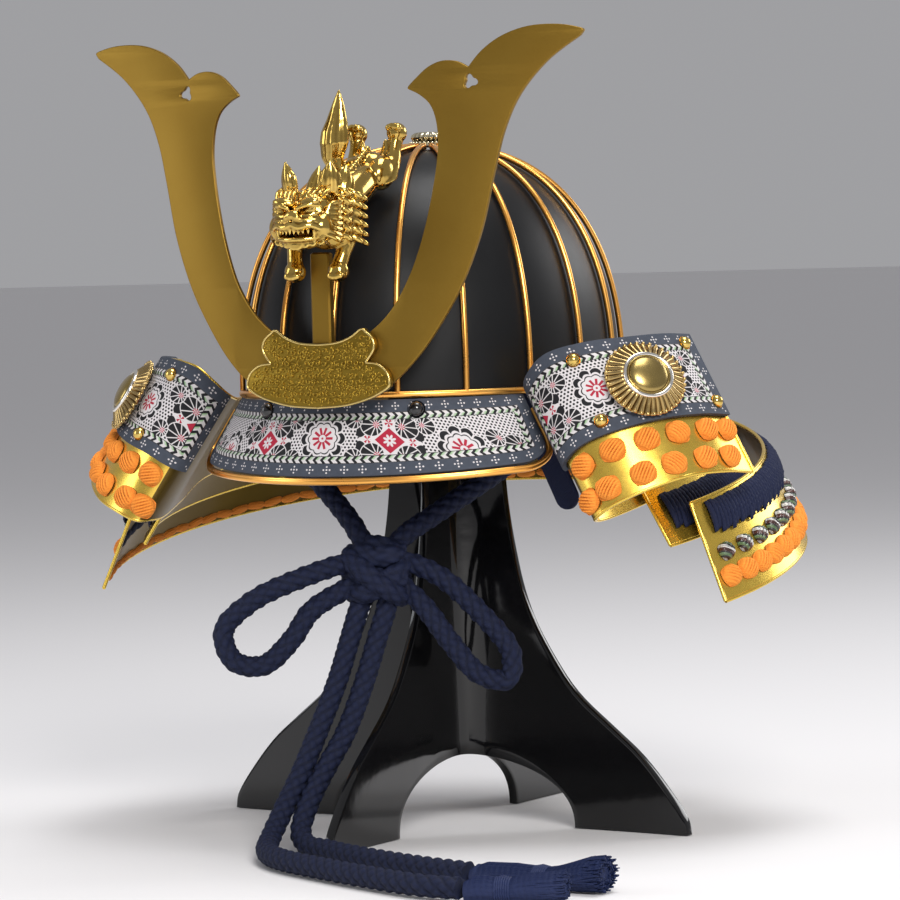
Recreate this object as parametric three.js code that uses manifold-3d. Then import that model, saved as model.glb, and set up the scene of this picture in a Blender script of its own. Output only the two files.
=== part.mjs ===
// A samurai helmet (kabuto) on its black display stand, life size, in millimetres, +Z up.
// The brow faces -Y, the wearer's left is +X, and the floor under the stand is z = 0.
import * as THREE from "three";
import { mergeVertices } from "three/addons/utils/BufferGeometryUtils.js";
import Module from "manifold-3d";

const wasm = await Module();
wasm.setup();

// Driving dimensions.
const contactGap = 0.35; // between pieces that touch
const frameShift = { x: 0, y: 11.6 }; // brings the whole model's box over the origin

const bowl = {
  halfWidth: 105, halfLength: 124, centreY: -14, rimZ: 258, height: 137.5,
  fullness: 2.4, wall: 2.5, columns: 18,
  rises: [0, 0.13, 0.27, 0.41, 0.55, 0.68, 0.8, 0.88, 0.94, 0.98],
};
const rib = { count: 18, radius: 1.7, sides: 4, endRise: 0.94 };
const rim = { radius: 2, drop: 1.5 };
const finial = { y: -13, flangeRadius: 12, crownRadius: 9.5, boreRadius: 4, height: 9, flutes: 10 };

const visor = {
  halfAngle: 57, topZ: 253, lowHalfWidth: 133, lowHalfLength: 138,
  lowZ: 211, endRise: 6, wall: 3, cornerAngle: 8, pipingRadius: 2,
};
const visorRivet = { turn: 25, drop: 0.12, radius: 5, standOff: 1.1 };

const hornPlate = { thickness: 3, frontY: -153.5, footZ: 275, leanBack: 0.063, sweepFrom: 54, sweep: 0.13 };
const eyelet = { x: 90, z: 429, radius: 2.6 };
const basePlate = { thickness: 4, reliefHeight: 0.9 };
const strut = { width: 12, depth: 6, frontY: -153, footZ: 285.5, topZ: 337 };

const turnback = { leatherWall: 2.6, leatherShare: 0.6, leatherLift: 0.6, leatherEnd: 6.2 };
const medallion = { u: 0.61, v: 0.672, halfWidth: 24.5, halfHeight: 23, thickness: 2.4, petals: 13 };
const studRadius = 4.1;
const knot = { length: 15, height: 13.5, bulge: 5 };

const lame = { wall: 1.6 };
const lacing = { wall: 3.2 };

const liningTab = { width: 14.5, wall: 3, x: 76.7, y: -60, topZ: 259.4, length: 78, lean: 24.7 };

const cordRadius = 6;
const cordSides = 8;
const stand = { wall: 5, topZ: 262, archHalfWidth: 84, archHeight: 41 };
const post = { radius: 13, padZ: 366, padRadius: 32 };

const finish = {
  black: { color: 0x0c0c0d, roughness: 0.35, metalness: 0.2 },
  lacquer: { color: 0x070707, roughness: 0.08, metalness: 0 },
  copper: { color: 0xc8781e, roughness: 0.25, metalness: 1 },
  satinGold: { color: 0x7a5c1c, roughness: 0.45, metalness: 0.9 },
  castGold: { color: 0xd8a830, roughness: 0.15, metalness: 1 },
  plateGold: { color: 0xc9a227, roughness: 0.35, metalness: 0.9 },
  silverGold: { color: 0xcfc29a, roughness: 0.25, metalness: 1 },
  leather: { color: 0x474e5c, roughness: 0.7, metalness: 0 },
  orange: { color: 0xe8842a, roughness: 0.85, metalness: 0 },
  navy: { color: 0x14204a, roughness: 0.85, metalness: 0 },
  mixed: { color: 0x4a5a48, roughness: 0.5, metalness: 0 },
};

// ---- helpers ----

const radians = (degrees) => (degrees * Math.PI) / 180;
const mix = (a, b, t) => a + (b - a) * t;
const vector = (x, y, z) => new THREE.Vector3(x, y, z);
const whole = new THREE.Group();

function addMesh(name, geometry, look, parent = whole) {
  const mesh = new THREE.Mesh(geometry, new THREE.MeshStandardMaterial(finish[look]));
  mesh.name = name;
  parent.add(mesh);
  return mesh;
}

// A closed body from a list of corner triples, with its faces turned out and its corners merged.
function fromTriangles(triangles) {
  let volume = 0;
  for (let i = 0; i < triangles.length; i += 3)
    volume += triangles[i].dot(triangles[i + 1].clone().cross(triangles[i + 2]));
  const ordered = volume < 0 ? triangles.toReversed() : triangles;
  const flat = ordered.flatMap((corner) => [corner.x, corner.y, corner.z]);
  const soup = new THREE.BufferGeometry();
  soup.setAttribute("position", new THREE.Float32BufferAttribute(flat, 3));
  return mergeVertices(soup, 1e-4);
}

function toSolid(geometry) {
  const bare = geometry.index ? geometry.toNonIndexed() : geometry.clone();
  bare.deleteAttribute("normal");
  bare.deleteAttribute("uv");
  const merged = mergeVertices(bare, 1e-4);
  return new wasm.Manifold(new wasm.Mesh({
    numProp: 3,
    vertProperties: new Float32Array(merged.attributes.position.array),
    triVerts: new Uint32Array(merged.index.array),
  }));
}

function toGeometry(solid) {
  const mesh = solid.getMesh();
  const geometry = new THREE.BufferGeometry();
  geometry.setAttribute("position", new THREE.Float32BufferAttribute(mesh.vertProperties, 3));
  geometry.setIndex(new THREE.BufferAttribute(mesh.triVerts, 1));
  return geometry;
}

const join = (geometries) => toGeometry(
  geometries.map(toSolid).reduce((sum, next) => sum.add(next)));
const carve = (geometry, tools) => toGeometry(
  tools.map(toSolid).reduce((rest, tool) => rest.subtract(tool), toSolid(geometry)));

// Splits a four-cornered face into two triangles.
const quad = (a, b, c, d) => [a, b, c, a, c, d];

// Closes a grid of points into a body: rings wrap on themselves, and both ends get a fan.
function loftRings(rings) {
  const triangles = [];
  const count = rings[0].length;
  for (let i = 0; i < rings.length - 1; i++)
    for (let j = 0; j < count; j++) {
      const next = (j + 1) % count;
      triangles.push(...quad(rings[i][j], rings[i][next], rings[i + 1][next], rings[i + 1][j]));
    }
  const centreOf = (ring) => ring.reduce((sum, p) => sum.add(p), vector(0, 0, 0)).divideScalar(count);
  const first = centreOf(rings[0]);
  const last = centreOf(rings.at(-1));
  for (let j = 0; j < count; j++) {
    const next = (j + 1) % count;
    triangles.push(first, rings[0][next], rings[0][j]);
    triangles.push(last, rings.at(-1)[j], rings.at(-1)[next]);
  }
  return fromTriangles(triangles);
}

// Rings that also join end to end, as round a hoop.
function loftHoop(rings) {
  const triangles = [];
  rings.forEach((ring, i) => {
    const after = rings[(i + 1) % rings.length];
    ring.forEach((point, j) => {
      const next = (j + 1) % ring.length;
      triangles.push(...quad(point, ring[next], after[next], after[j]));
    });
  });
  return fromTriangles(triangles);
}

// A sheet of even wall on a surface(u, v), from `lift` above it to `lift + wall`.
// Its outside is on the side that du x dv points to.
function sheet(surface, { us, vs, wall, lift = 0, trim = () => [0, 1] }) {
  const step = 1e-3;
  const layerAt = (distance) => us.map((u) => vs.map((share) => {
    const v = mix(...trim(u), share);
    const alongU = surface(Math.min(u + step, 1), v).sub(surface(Math.max(u - step, 0), v));
    const alongV = surface(u, Math.min(v + step, 1)).sub(surface(u, Math.max(v - step, 0)));
    return surface(u, v).addScaledVector(alongU.cross(alongV).normalize(), distance);
  }));
  const outer = layerAt(lift + wall);
  const inner = layerAt(lift);
  const triangles = [];
  const lastU = us.length - 1;
  const lastV = vs.length - 1;
  for (let i = 0; i < lastU; i++) {
    for (let j = 0; j < lastV; j++) {
      triangles.push(...quad(outer[i][j], outer[i + 1][j], outer[i + 1][j + 1], outer[i][j + 1]));
      triangles.push(...quad(inner[i][j], inner[i][j + 1], inner[i + 1][j + 1], inner[i + 1][j]));
    }
    triangles.push(...quad(inner[i][0], inner[i + 1][0], outer[i + 1][0], outer[i][0]));
    triangles.push(...quad(outer[i][lastV], outer[i + 1][lastV], inner[i + 1][lastV], inner[i][lastV]));
  }
  for (let j = 0; j < lastV; j++) {
    triangles.push(...quad(outer[0][j], outer[0][j + 1], inner[0][j + 1], inner[0][j]));
    triangles.push(...quad(inner[lastU][j], inner[lastU][j + 1], outer[lastU][j + 1], outer[lastU][j]));
  }
  return fromTriangles(triangles);
}

const steps = (count, from = 0, to = 1) =>
  Array.from({ length: count + 1 }, (_, i) => mix(from, to, i / count));

// A round tube along a smooth path.
function tube(points, radius, sides, count) {
  const path = new THREE.CatmullRomCurve3(points, false, "centripetal");
  const section = new THREE.Shape(steps(sides - 1, 0, (2 * Math.PI * (sides - 1)) / sides)
    .map((angle) => new THREE.Vector2(radius * Math.cos(angle), radius * Math.sin(angle))));
  return new THREE.ExtrudeGeometry(section, { steps: count, extrudePath: path });
}

// An ellipsoid, turned by `turn` in degrees about X, Y and Z.
function lump({ x, y, z, rx, ry, rz, turn = [0, 0, 0], around = 10, up = 6 }) {
  const ball = new THREE.SphereGeometry(1, around, up);
  ball.scale(rx, ry, rz);
  ball.applyMatrix4(new THREE.Matrix4().makeRotationFromEuler(new THREE.Euler(...turn.map(radians))));
  ball.translate(x, y, z);
  return ball;
}

// The smooth value of one column of a short table, at a key between its rows.
function readTable(table, key, column, at) {
  const last = table.length - 1;
  const i = Math.max(0, table.findLastIndex((row, k) => k < last && row[key] <= at));
  const slopeAt = (k) => {
    const before = table[Math.max(k - 1, 0)];
    const after = table[Math.min(k + 1, last)];
    return (after[column] - before[column]) / (after[key] - before[key]);
  };
  const [from, to] = [table[i], table[i + 1]];
  const span = to[key] - from[key];
  const t = (at - from[key]) / span;
  const [t2, t3] = [t * t, t * t * t];
  return (2 * t3 - 3 * t2 + 1) * from[column] + (t3 - 2 * t2 + t) * span * slopeAt(i)
    + (3 * t2 - 2 * t3) * to[column] + (t3 - t2) * span * slopeAt(i + 1);
}

// Turns a piece made round +Z so that +Z points along `normal`, and puts it at `point`.
function placeOn(geometry, point, normal) {
  const turn = new THREE.Quaternion().setFromUnitVectors(vector(0, 0, 1), normal.clone().normalize());
  const copy = geometry.clone();
  copy.applyMatrix4(new THREE.Matrix4().makeRotationFromQuaternion(turn));
  copy.translate(point.x, point.y, point.z);
  return copy;
}

const mirrorX = (geometry) => {
  const copy = geometry.index ? geometry.toNonIndexed() : geometry.clone();
  const position = copy.attributes.position;
  const flipped = [];
  for (let i = 0; i < position.count; i += 3)
    for (const k of [i, i + 2, i + 1])
      flipped.push(vector(-position.getX(k), position.getY(k), position.getZ(k)));
  return fromTriangles(flipped);
};

// ---- bowl, ribs and finial ----

// A point of the bowl: `turn` runs from the brow towards the wearer's left, `rise` from rim to crown.
function bowlPoint(turn, rise, outward = 0) {
  const angle = (rise * Math.PI) / 2;
  const reach = Math.cos(angle) ** (2 / bowl.fullness);
  const lift = Math.sin(angle) ** (2 / bowl.fullness);
  return vector(
    (bowl.halfWidth + outward) * reach * Math.sin(turn),
    bowl.centreY - (bowl.halfLength + outward) * reach * Math.cos(turn),
    bowl.rimZ + (bowl.height + outward) * lift,
  );
}

function bowlGeometry() {
  const ringAt = (rise, outward) => steps(bowl.columns - 1, 0, 2 * Math.PI * (1 - 1 / bowl.columns))
    .map((turn) => bowlPoint(turn, rise, outward));
  const outer = bowl.rises.map((rise) => ringAt(rise, 0));
  const inner = bowl.rises.map((rise) => ringAt(rise, -bowl.wall));
  const triangles = [];
  const wrap = (lower, upper, facingOut) => lower.forEach((point, j) => {
    const next = (j + 1) % lower.length;
    const face = facingOut
      ? quad(point, lower[next], upper[next], upper[j])
      : quad(point, upper[j], upper[next], lower[next]);
    triangles.push(...face);
  });
  for (let i = 0; i < bowl.rises.length - 1; i++) {
    wrap(outer[i], outer[i + 1], true);
    wrap(inner[i], inner[i + 1], false);
  }
  wrap(inner[0], outer[0], true);
  const crownOut = vector(0, bowl.centreY, bowl.rimZ + bowl.height);
  const crownIn = vector(0, bowl.centreY, bowl.rimZ + bowl.height - bowl.wall);
  outer.at(-1).forEach((point, j) => {
    const next = (j + 1) % bowl.columns;
    triangles.push(point, outer.at(-1)[next], crownOut);
    triangles.push(inner.at(-1)[next], inner.at(-1)[j], crownIn);
  });
  return fromTriangles(triangles);
}

function ribGeometry() {
  const standOff = rib.radius + contactGap + 0.3;
  const rises = bowl.rises.filter((rise) => rise <= rib.endRise);
  const ribs = steps(rib.count - 1, 0, 2 * Math.PI * (1 - 1 / rib.count)).map((turn) =>
    loftRings(rises.map((rise, i) => {
      const along = bowlPoint(turn, rises[Math.min(i + 1, rises.length - 1)])
        .sub(bowlPoint(turn, rises[Math.max(i - 1, 0)])).normalize();
      const side = vector(Math.cos(turn), Math.sin(turn), 0);
      const outward = side.clone().cross(along);
      return steps(rib.sides - 1, 0, 2 * Math.PI * (1 - 1 / rib.sides)).map((angle) =>
        bowlPoint(turn, rise, standOff).addScaledVector(outward, rib.radius * Math.cos(angle))
          .addScaledVector(side, rib.radius * Math.sin(angle)));
    })));
  const rimCentre = (turn) => bowlPoint(turn, 0, standOff + 0.2).setZ(bowl.rimZ - rim.drop);
  const rimRings = steps(bowl.columns - 1, 0, 2 * Math.PI * (1 - 1 / bowl.columns)).map((turn) => {
    const centre = rimCentre(turn);
    const outward = vector(Math.sin(turn), -Math.cos(turn), 0);
    return steps(rib.sides, 0, 2 * Math.PI * (1 - 1 / (rib.sides + 1))).map((angle) =>
      centre.clone().addScaledVector(outward, rim.radius * Math.cos(angle))
        .add(vector(0, 0, rim.radius * Math.sin(angle))));
  });
  return join([...ribs, loftHoop(rimRings)]);
}

addMesh("bowl", bowlGeometry(), "black");
addMesh("rib_piping", ribGeometry(), "copper");

function finialGeometry() {
  const sections = [
    { z: 0, r: finial.boreRadius, fluted: 0 }, { z: 0, r: finial.flangeRadius - 1.5, fluted: 0 },
    { z: 1.8, r: finial.flangeRadius, fluted: 1 }, { z: 3.6, r: finial.crownRadius, fluted: 0 },
    { z: 6, r: finial.crownRadius + 1, fluted: 1 }, { z: 8.2, r: finial.crownRadius - 0.8, fluted: 1 },
    { z: finial.height, r: finial.boreRadius + 2, fluted: 0 }, { z: finial.height, r: finial.boreRadius, fluted: 0 },
  ];
  const sides = finial.flutes * 2;
  const hoops = steps(sides - 1, 0, 2 * Math.PI * (1 - 1 / sides)).map((turn, i) =>
    sections.map(({ z, r, fluted }) => {
      const reach = r - (i % 2) * fluted * 0.9;
      return vector(reach * Math.cos(turn), reach * Math.sin(turn), z);
    }));
  return loftHoop(hoops);
}
const crownZ = bowl.rimZ + bowl.height;
addMesh("finial", finialGeometry(), "silverGold").position.set(0, finial.y, crownZ + 1.2);

// ---- visor ----

// `turn` in degrees from the brow's centre, `drop` from the rim (0) to the lower edge (1).
function visorPoint(turn, drop, outward = 0) {
  const angle = radians(turn);
  const lowZ = visor.lowZ + visor.endRise * (turn / visor.halfAngle) ** 2;
  const reachX = mix(bowl.halfWidth, visor.lowHalfWidth - visor.wall, drop) + outward;
  const reachY = mix(bowl.halfLength, visor.lowHalfLength - visor.wall, drop) + outward;
  return vector(reachX * Math.sin(angle), bowl.centreY - reachY * Math.cos(angle), mix(visor.topZ, lowZ, drop));
}
const visorCorner = 0.3; // share of the height that the rounded ends take
const cornerDrop = (turn, spread, depth) => {
  const past = Math.max(0, Math.abs(turn) - (visor.halfAngle - visor.cornerAngle)) / spread;
  return depth * (1 - Math.sqrt(Math.max(0, 1 - past * past)));
};
const visorAngle = (u) => mix(-visor.halfAngle, visor.halfAngle, u);
const endSteps = [0, 0.006, 0.02, 0.045, 0.075];
const visorSteps = [...endSteps, ...steps(16, 0.11, 0.89), ...endSteps.map((u) => 1 - u).reverse()];
addMesh("visor", sheet((u, v) => visorPoint(visorAngle(u), 1 - v), {
  us: visorSteps, vs: [0, 1], wall: visor.wall,
  trim: (u) => [cornerDrop(visorAngle(u), visor.cornerAngle, visorCorner), 1],
}), "leather");

const edgeTurn = 1.4; // degrees past the visor's ends
const edgeDrop = 1.055; // just under its lower edge
const edgeAt = (turn) => visorPoint(
  turn, edgeDrop - cornerDrop(turn, visor.cornerAngle + edgeTurn, visorCorner + 0.055), visor.wall / 2);
const endTurn = visor.halfAngle + edgeTurn;
const lowTurns = [57.6, 56, 53.5, 49, 40, 28, 14];
const lowEdge = [...lowTurns.map((turn) => -turn), 0, ...lowTurns.toReversed()].map(edgeAt);
const endEdge = (side) => [0.2, 0.45, 0.66].map((drop) => visorPoint(side * endTurn, drop, visor.wall / 2));
addMesh("visor_piping", tube([...endEdge(-1), ...lowEdge, ...endEdge(1).reverse()],
  visor.pipingRadius, 5, 34), "copper");

const domeOf = (radius, sides) => new THREE.LatheGeometry(
  [[0, 0], [1, 0], [0.86, 0.5], [0.5, 0.87], [0, 1]]
    .map(([r, z]) => new THREE.Vector2(r * radius, z * radius)), sides).rotateX(Math.PI / 2);
for (const [side, label] of [[1, "left"], [-1, "right"]]) {
  const turn = side * visorRivet.turn;
  const seat = visorPoint(turn, visorRivet.drop, visor.wall + visorRivet.standOff);
  const normal = vector(Math.sin(radians(turn)) * 0.9, -Math.cos(radians(turn)), 0.35);
  addMesh(`visor_rivet_${label}`, placeOn(domeOf(visorRivet.radius, 8), seat, normal), "black");
}

// ---- horns, base plate and strut ----

// How far the flat pattern of the horns is swept and leant back.
const hornY = (x, z) => hornPlate.frontY + hornPlate.leanBack * (z - hornPlate.footZ)
  + hornPlate.sweep * Math.max(Math.abs(x) - hornPlate.sweepFrom, 0);

const outerEdge = [[0, 250.5], [22, 253], [42, 262], [59, 277], [74, 297.5], [86.5, 320], [96.8, 348],
  [103.6, 378], [109.8, 402], [119, 421.5], [134.4, 439], [152.8, 451.8]];
const outerLobe = [[154.6, 454.2], [153, 456], [140, 458.6], [123, 458.2], [108, 453.6], [96.5, 446], [88.6, 437]];
const innerLobe = [[88.6, 437], [82, 440.4], [73.5, 441], [65.5, 438], [58.8, 432.4], [54, 427.6], [53.8, 426]];
const innerEdge = [[53.8, 426], [60.5, 422.6], [66.6, 417], [70, 408.5], [71.3, 397], [70.6, 385], [67.4, 365],
  [61.8, 342], [54, 321], [43, 303.5], [30, 292], [15.5, 285.6], [0, 283.4]];

const splineOf = (points, count) => new THREE.SplineCurve(
  points.map(([x, z]) => new THREE.Vector2(x, z))).getPoints(count);
function mirroredShape(halves) {
  const right = halves.flat().filter((p, i, all) => i === 0 || p.distanceTo(all[i - 1]) > 0.05);
  const left = right.toReversed().map((p) => new THREE.Vector2(-p.x, p.y)).filter((p) => p.x < -0.01);
  return new THREE.Shape([...right, ...left]);
}
function eyeletPath(side) {
  const towardsNotch = side > 0 ? 110 : 70;
  return new THREE.Path(steps(14, 0, 14 / 15).map((share) => {
    const angle = side * share * 2 * Math.PI;
    const reach = eyelet.radius + 0.9 * (1 + Math.cos(3 * (angle - radians(towardsNotch))));
    return new THREE.Vector2(side * eyelet.x + reach * Math.cos(angle), eyelet.z + reach * Math.sin(angle));
  }));
}
// Stands a flat pattern drawn in x and z on the horns' swept face, `ahead` in front of it.
function standUp(shape, thickness, ahead) {
  const body = new THREE.ExtrudeGeometry(shape, { depth: thickness, bevelEnabled: false });
  const position = body.attributes.position;
  for (let i = 0; i < position.count; i++) {
    const [x, z, depth] = [position.getX(i), position.getY(i), position.getZ(i)];
    position.setXYZ(i, x, hornY(x, z) - ahead - depth + thickness, z);
  }
  return body;
}
const hornShape = mirroredShape([splineOf(outerEdge, 14), splineOf(outerLobe, 8),
  splineOf(innerLobe, 6), splineOf(innerEdge, 14)]);
hornShape.holes.push(eyeletPath(1), eyeletPath(-1));
addMesh("horns", standUp(hornShape, hornPlate.thickness, 0), "satinGold");

const plateTop = [[0, 286.2], [12, 287], [21, 290], [27.6, 294.4], [30, 293]];
const plateUpperLobe = [[30, 293], [34.6, 289], [35.6, 283], [30.4, 275.4]];
const plateLowerLobe = [[30.4, 275.4], [38, 274.4], [44, 269.6], [45.6, 263], [43.5, 260.4]];
const plateFoot = [[43.5, 260.4], [34, 255.6], [18, 251.3], [0, 249.8]];
const plateShape = (inset) => {
  const centre = new THREE.Vector2(0, 270);
  const halves = [splineOf(plateFoot.toReversed(), 4), splineOf(plateLowerLobe.toReversed(), 4),
    splineOf(plateUpperLobe.toReversed(), 4), splineOf(plateTop.toReversed(), 5)];
  const pull = (p) => p.clone().sub(centre).multiplyScalar(1 - inset).add(centre);
  return mirroredShape(halves.map((half) => half.map(pull)));
};
function basePlateGeometry() {
  const ahead = basePlate.thickness + contactGap;
  const plate = standUp(plateShape(0), basePlate.thickness, ahead);
  const rimFrame = plateShape(0.005);
  rimFrame.holes.push(new THREE.Path(plateShape(0.075).getPoints().toReversed()));
  const frame = standUp(rimFrame, basePlate.reliefHeight + 0.5, ahead + basePlate.reliefHeight);
  const scrolls = [[-30, 265], [-11, 261], [11, 261], [30, 265], [-20, 274], [0, 272], [20, 274]].map(([x, z]) => {
    const curl = new THREE.TorusGeometry(5, 1.2, 3, 6).rotateX(Math.PI / 2);
    curl.translate(x, hornY(x, z) - ahead, z);
    return curl;
  });
  return join([plate, frame, ...scrolls]);
}
addMesh("horn_base_plate", basePlateGeometry(), "castGold");

addMesh("crest_strut", new THREE.BoxGeometry(strut.width, strut.depth, strut.topZ - strut.footZ),
  "satinGold").position.set(0, strut.frontY + strut.depth / 2, (strut.topZ + strut.footZ) / 2);

// ---- lion crest ----

// Leaping down over the brow: head low and forward, hind legs kicked up behind.
const lionPaired = [ // x is given for the wearer's left, from the lion's own middle
  { part: "brow", x: 7.5, y: -183, z: 364.5, rx: 7, ry: 4.5, rz: 3.4 },
  { part: "cheek", x: 13, y: -176, z: 351, rx: 6, ry: 9, rz: 8 },
  { part: "ear", x: 13.2, y: -169, z: 377.5, rx: 6.2, ry: 4, rz: 11.5, turn: [-4, 6, 0] },
  { part: "mane", x: 17, y: -156, z: 356, rx: 7, ry: 10, rz: 14.5, turn: [-15, 0, 0] },
  { part: "ruff", x: 13, y: -155, z: 345, rx: 9, ry: 9, rz: 7.6 },
  { part: "haunch", x: 8.5, y: -104, z: 381, rx: 7.5, ry: 11, rz: 9, turn: [30, 0, 0] },
  { part: "upper foreleg", x: 15, y: -157, z: 338, rx: 5, ry: 5, rz: 9, turn: [0, 12, 0] },
  { part: "forepaw", x: 13.5, y: -161.5, z: 326.5, rx: 6.2, ry: 6.5, rz: 6.2 },
  { part: "hind leg", x: 11.2, y: -98, z: 393, rx: 4.4, ry: 4.8, rz: 12, turn: [-25, 0, 0] },
  { part: "hind paw", x: 12.6, y: -93, z: 403.5, rx: 6, ry: 5.4, rz: 6.2 },
];
const lionSingle = [
  { part: "skull", y: -171, z: 358, rx: 17, ry: 14, rz: 14.5 },
  { part: "muzzle", y: -184.5, z: 354, rx: 15.5, ry: 8, rz: 6.5 },
  { part: "jaw", y: -181.5, z: 343.5, rx: 13, ry: 8.5, rz: 5 },
  { part: "neck", y: -156, z: 357, rx: 16, ry: 13, rz: 15 },
  { part: "chest", y: -152, z: 347.5, rx: 11, ry: 10, rz: 9.6 },
  { part: "barrel", y: -126, z: 371, rx: 11.2, ry: 31, rz: 11, turn: [26, 0, 0] },
  { part: "rump", y: -103, z: 384, rx: 12, ry: 10, rz: 9.5 },
];
const lionLine = [[-190, 4.5], [-160, 3], [-128, 8.2], [-80, 7.8]]; // its middle, as it stands askew on the brow
const lionMiddle = (y) => {
  const i = lionLine.findIndex(([end]) => y <= end);
  const [[y0, x0], [y1, x1]] = [lionLine[i - 1], lionLine[i]];
  return mix(x0, x1, (y - y0) / (y1 - y0));
};
const tailTable = [
  { z: 378, x: -6, y: -113, r: 4 }, { z: 390, x: -10.2, y: -114, r: 6.7 }, { z: 398.7, x: -8.9, y: -114, r: 8.8 },
  { z: 405, x: -8.3, y: -114, r: 8.4 }, { z: 412, x: -6.8, y: -114, r: 6.3 }, { z: 421, x: -5.7, y: -114, r: 3.6 },
  { z: 428.6, x: -5, y: -114, r: 0.6 },
];
function lionGeometry() {
  const small = { around: 6, up: 4 };
  const pair = lionPaired.flatMap((row) => {
    const [tiltX, tiltY, tiltZ] = row.turn ?? [0, 0, 0];
    const middle = lionMiddle(row.y);
    return [lump({ ...small, ...row, x: middle + row.x }),
      lump({ ...small, ...row, x: middle - row.x, turn: [tiltX, -tiltY, -tiltZ] })];
  });
  const tail = loftRings(tailTable.map(({ x, y, z, r }) => steps(8, 0, 8 / 9).map((share, i) => {
    const angle = share * 2 * Math.PI;
    const reach = r * (i % 2 ? 0.86 : 1);
    return vector(x + reach * Math.cos(angle), y + 0.62 * reach * Math.sin(angle), z);
  })));
  const single = lionSingle.map((row) => lump({ around: 8, up: 5, ...row, x: lionMiddle(row.y) }));
  return join([...single, ...pair, tail]);
}
addMesh("lion_crest", lionGeometry(), "castGold");

// ---- neck guard and turn-backs ----

// Stations from the turn-back's outer edge (0), round its bend (5 to 6), then back to the rear (13).
const topRail = [
  { x: 169, y: -32, z: 284 }, { x: 162.5, y: -54, z: 285 }, { x: 150, y: -76, z: 284 },
  { x: 132, y: -92, z: 282 }, { x: 113, y: -98, z: 276.5 }, { x: 101, y: -95.5, z: 265 },
  { x: 98, y: -88, z: 257 }, { x: 101, y: -71, z: 252.8 }, { x: 107.5, y: -48, z: 252.5 },
  { x: 111, y: -14, z: 252.5 }, { x: 106.6, y: 37.7, z: 252.5 }, { x: 81.6, y: 80.5, z: 252.5 },
  { x: 43.7, y: 107.4, z: 252.5 }, { x: 0, y: 115.5, z: 252.5 },
];
const lowRail = [
  { x: 211, y: -38, z: 208.2 }, { x: 205.5, y: -62, z: 210 }, { x: 194, y: -85.5, z: 209 },
  { x: 177, y: -103, z: 202.8 }, { x: 159, y: -112, z: 194.5 }, { x: 147, y: -111.5, z: 187 },
  { x: 142.5, y: -103, z: 184 }, { x: 144, y: -85, z: 185 }, { x: 152, y: -50, z: 192 },
  { x: 162, y: 0, z: 204 }, { x: 150, y: 51, z: 214 }, { x: 115, y: 94, z: 223 },
  { x: 62, y: 123, z: 229 }, { x: 0, y: 133, z: 231 },
];
// The wearer's right turn-back is bent a little lower and further in; x is taken as on the left.
const topRight = [
  { x: 163.2, y: -27, z: 275.3 }, { x: 157, y: -50.6, z: 276.5 }, { x: 146, y: -73.6, z: 276.5 },
  { x: 129, y: -90.6, z: 276.5 }, { x: 112, y: -97.4, z: 272.5 }, { x: 101, y: -95.5, z: 263 },
];
const lowRight = [
  { x: 207.5, y: -36.5, z: 214 }, { x: 203, y: -60, z: 212 }, { x: 193, y: -84, z: 206 },
  { x: 177, y: -103, z: 197 }, { x: 159, y: -112, z: 189.5 }, { x: 147, y: -111.5, z: 184.5 },
];
const bendStation = 5.5;
const rearStation = topRail.length - 1;
const railCurve = (rows, rightRows) => {
  const left = rows.map(({ x, y, z }) => vector(x, y, z));
  const right = [...rightRows, ...rows.slice(rightRows.length, -1)].map(({ x, y, z }) => vector(-x, y, z)).reverse();
  return new THREE.CatmullRomCurve3([...left, ...right], false, "catmullrom", 0.5);
};
const [topCurve, lowCurve] = [railCurve(topRail, topRight), railCurve(lowRail, lowRight)];
const asShare = (station) => station / (2 * rearStation);
const collar = (u, v) => lowCurve.getPoint(u).lerp(topCurve.getPoint(u), v);
const mirrored = (shares) => [...shares, ...shares.slice(0, -1).map((u) => 1 - u).reverse()];
const collarStations = [0, 0.8, 1.6, 2.4, 3.2, 4, 4.5, 5, 5.35, 5.7, 6.1, 6.7, 7.5, 8.3, 9, 9.8, 10.6,
  11.4, 12.2, 13];
addMesh("neck_lame_top", sheet(collar, {
  us: mirrored(collarStations.map(asShare)), vs: [0, 1], wall: lame.wall,
}), "plateGold");

// The panel's own surface: u from its bend to its outer edge, on the wearer's left.
// The sheet folds over at the bend, so the panel's outside is the lame's inside.
// The right one is worked out as if it were on the left, then mirrored.
const panelEnd = bendStation - 0.1;
const panels = {
  left: (u, v) => collar(asShare((1 - u) * panelEnd), v),
  right: (u, v) => collar(1 - asShare((1 - u) * panelEnd), v).multiply(vector(-1, 1, 1)),
};
const leatherStations = collarStations.filter((at) => at < turnback.leatherEnd)
  .map((at) => 1 - at / panelEnd).reverse();
function panelFrame(panel, u, v, lift) {
  const alongU = panel(Math.min(u + 0.01, 1), v).sub(panel(Math.max(u - 0.01, 0), v));
  const alongV = panel(u, v + 0.01).sub(panel(u, v - 0.01));
  const normal = alongU.cross(alongV).normalize();
  return { point: panel(u, v).addScaledVector(normal, lift), normal };
}
const leatherTop = turnback.leatherLift + turnback.leatherWall + contactGap;

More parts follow.
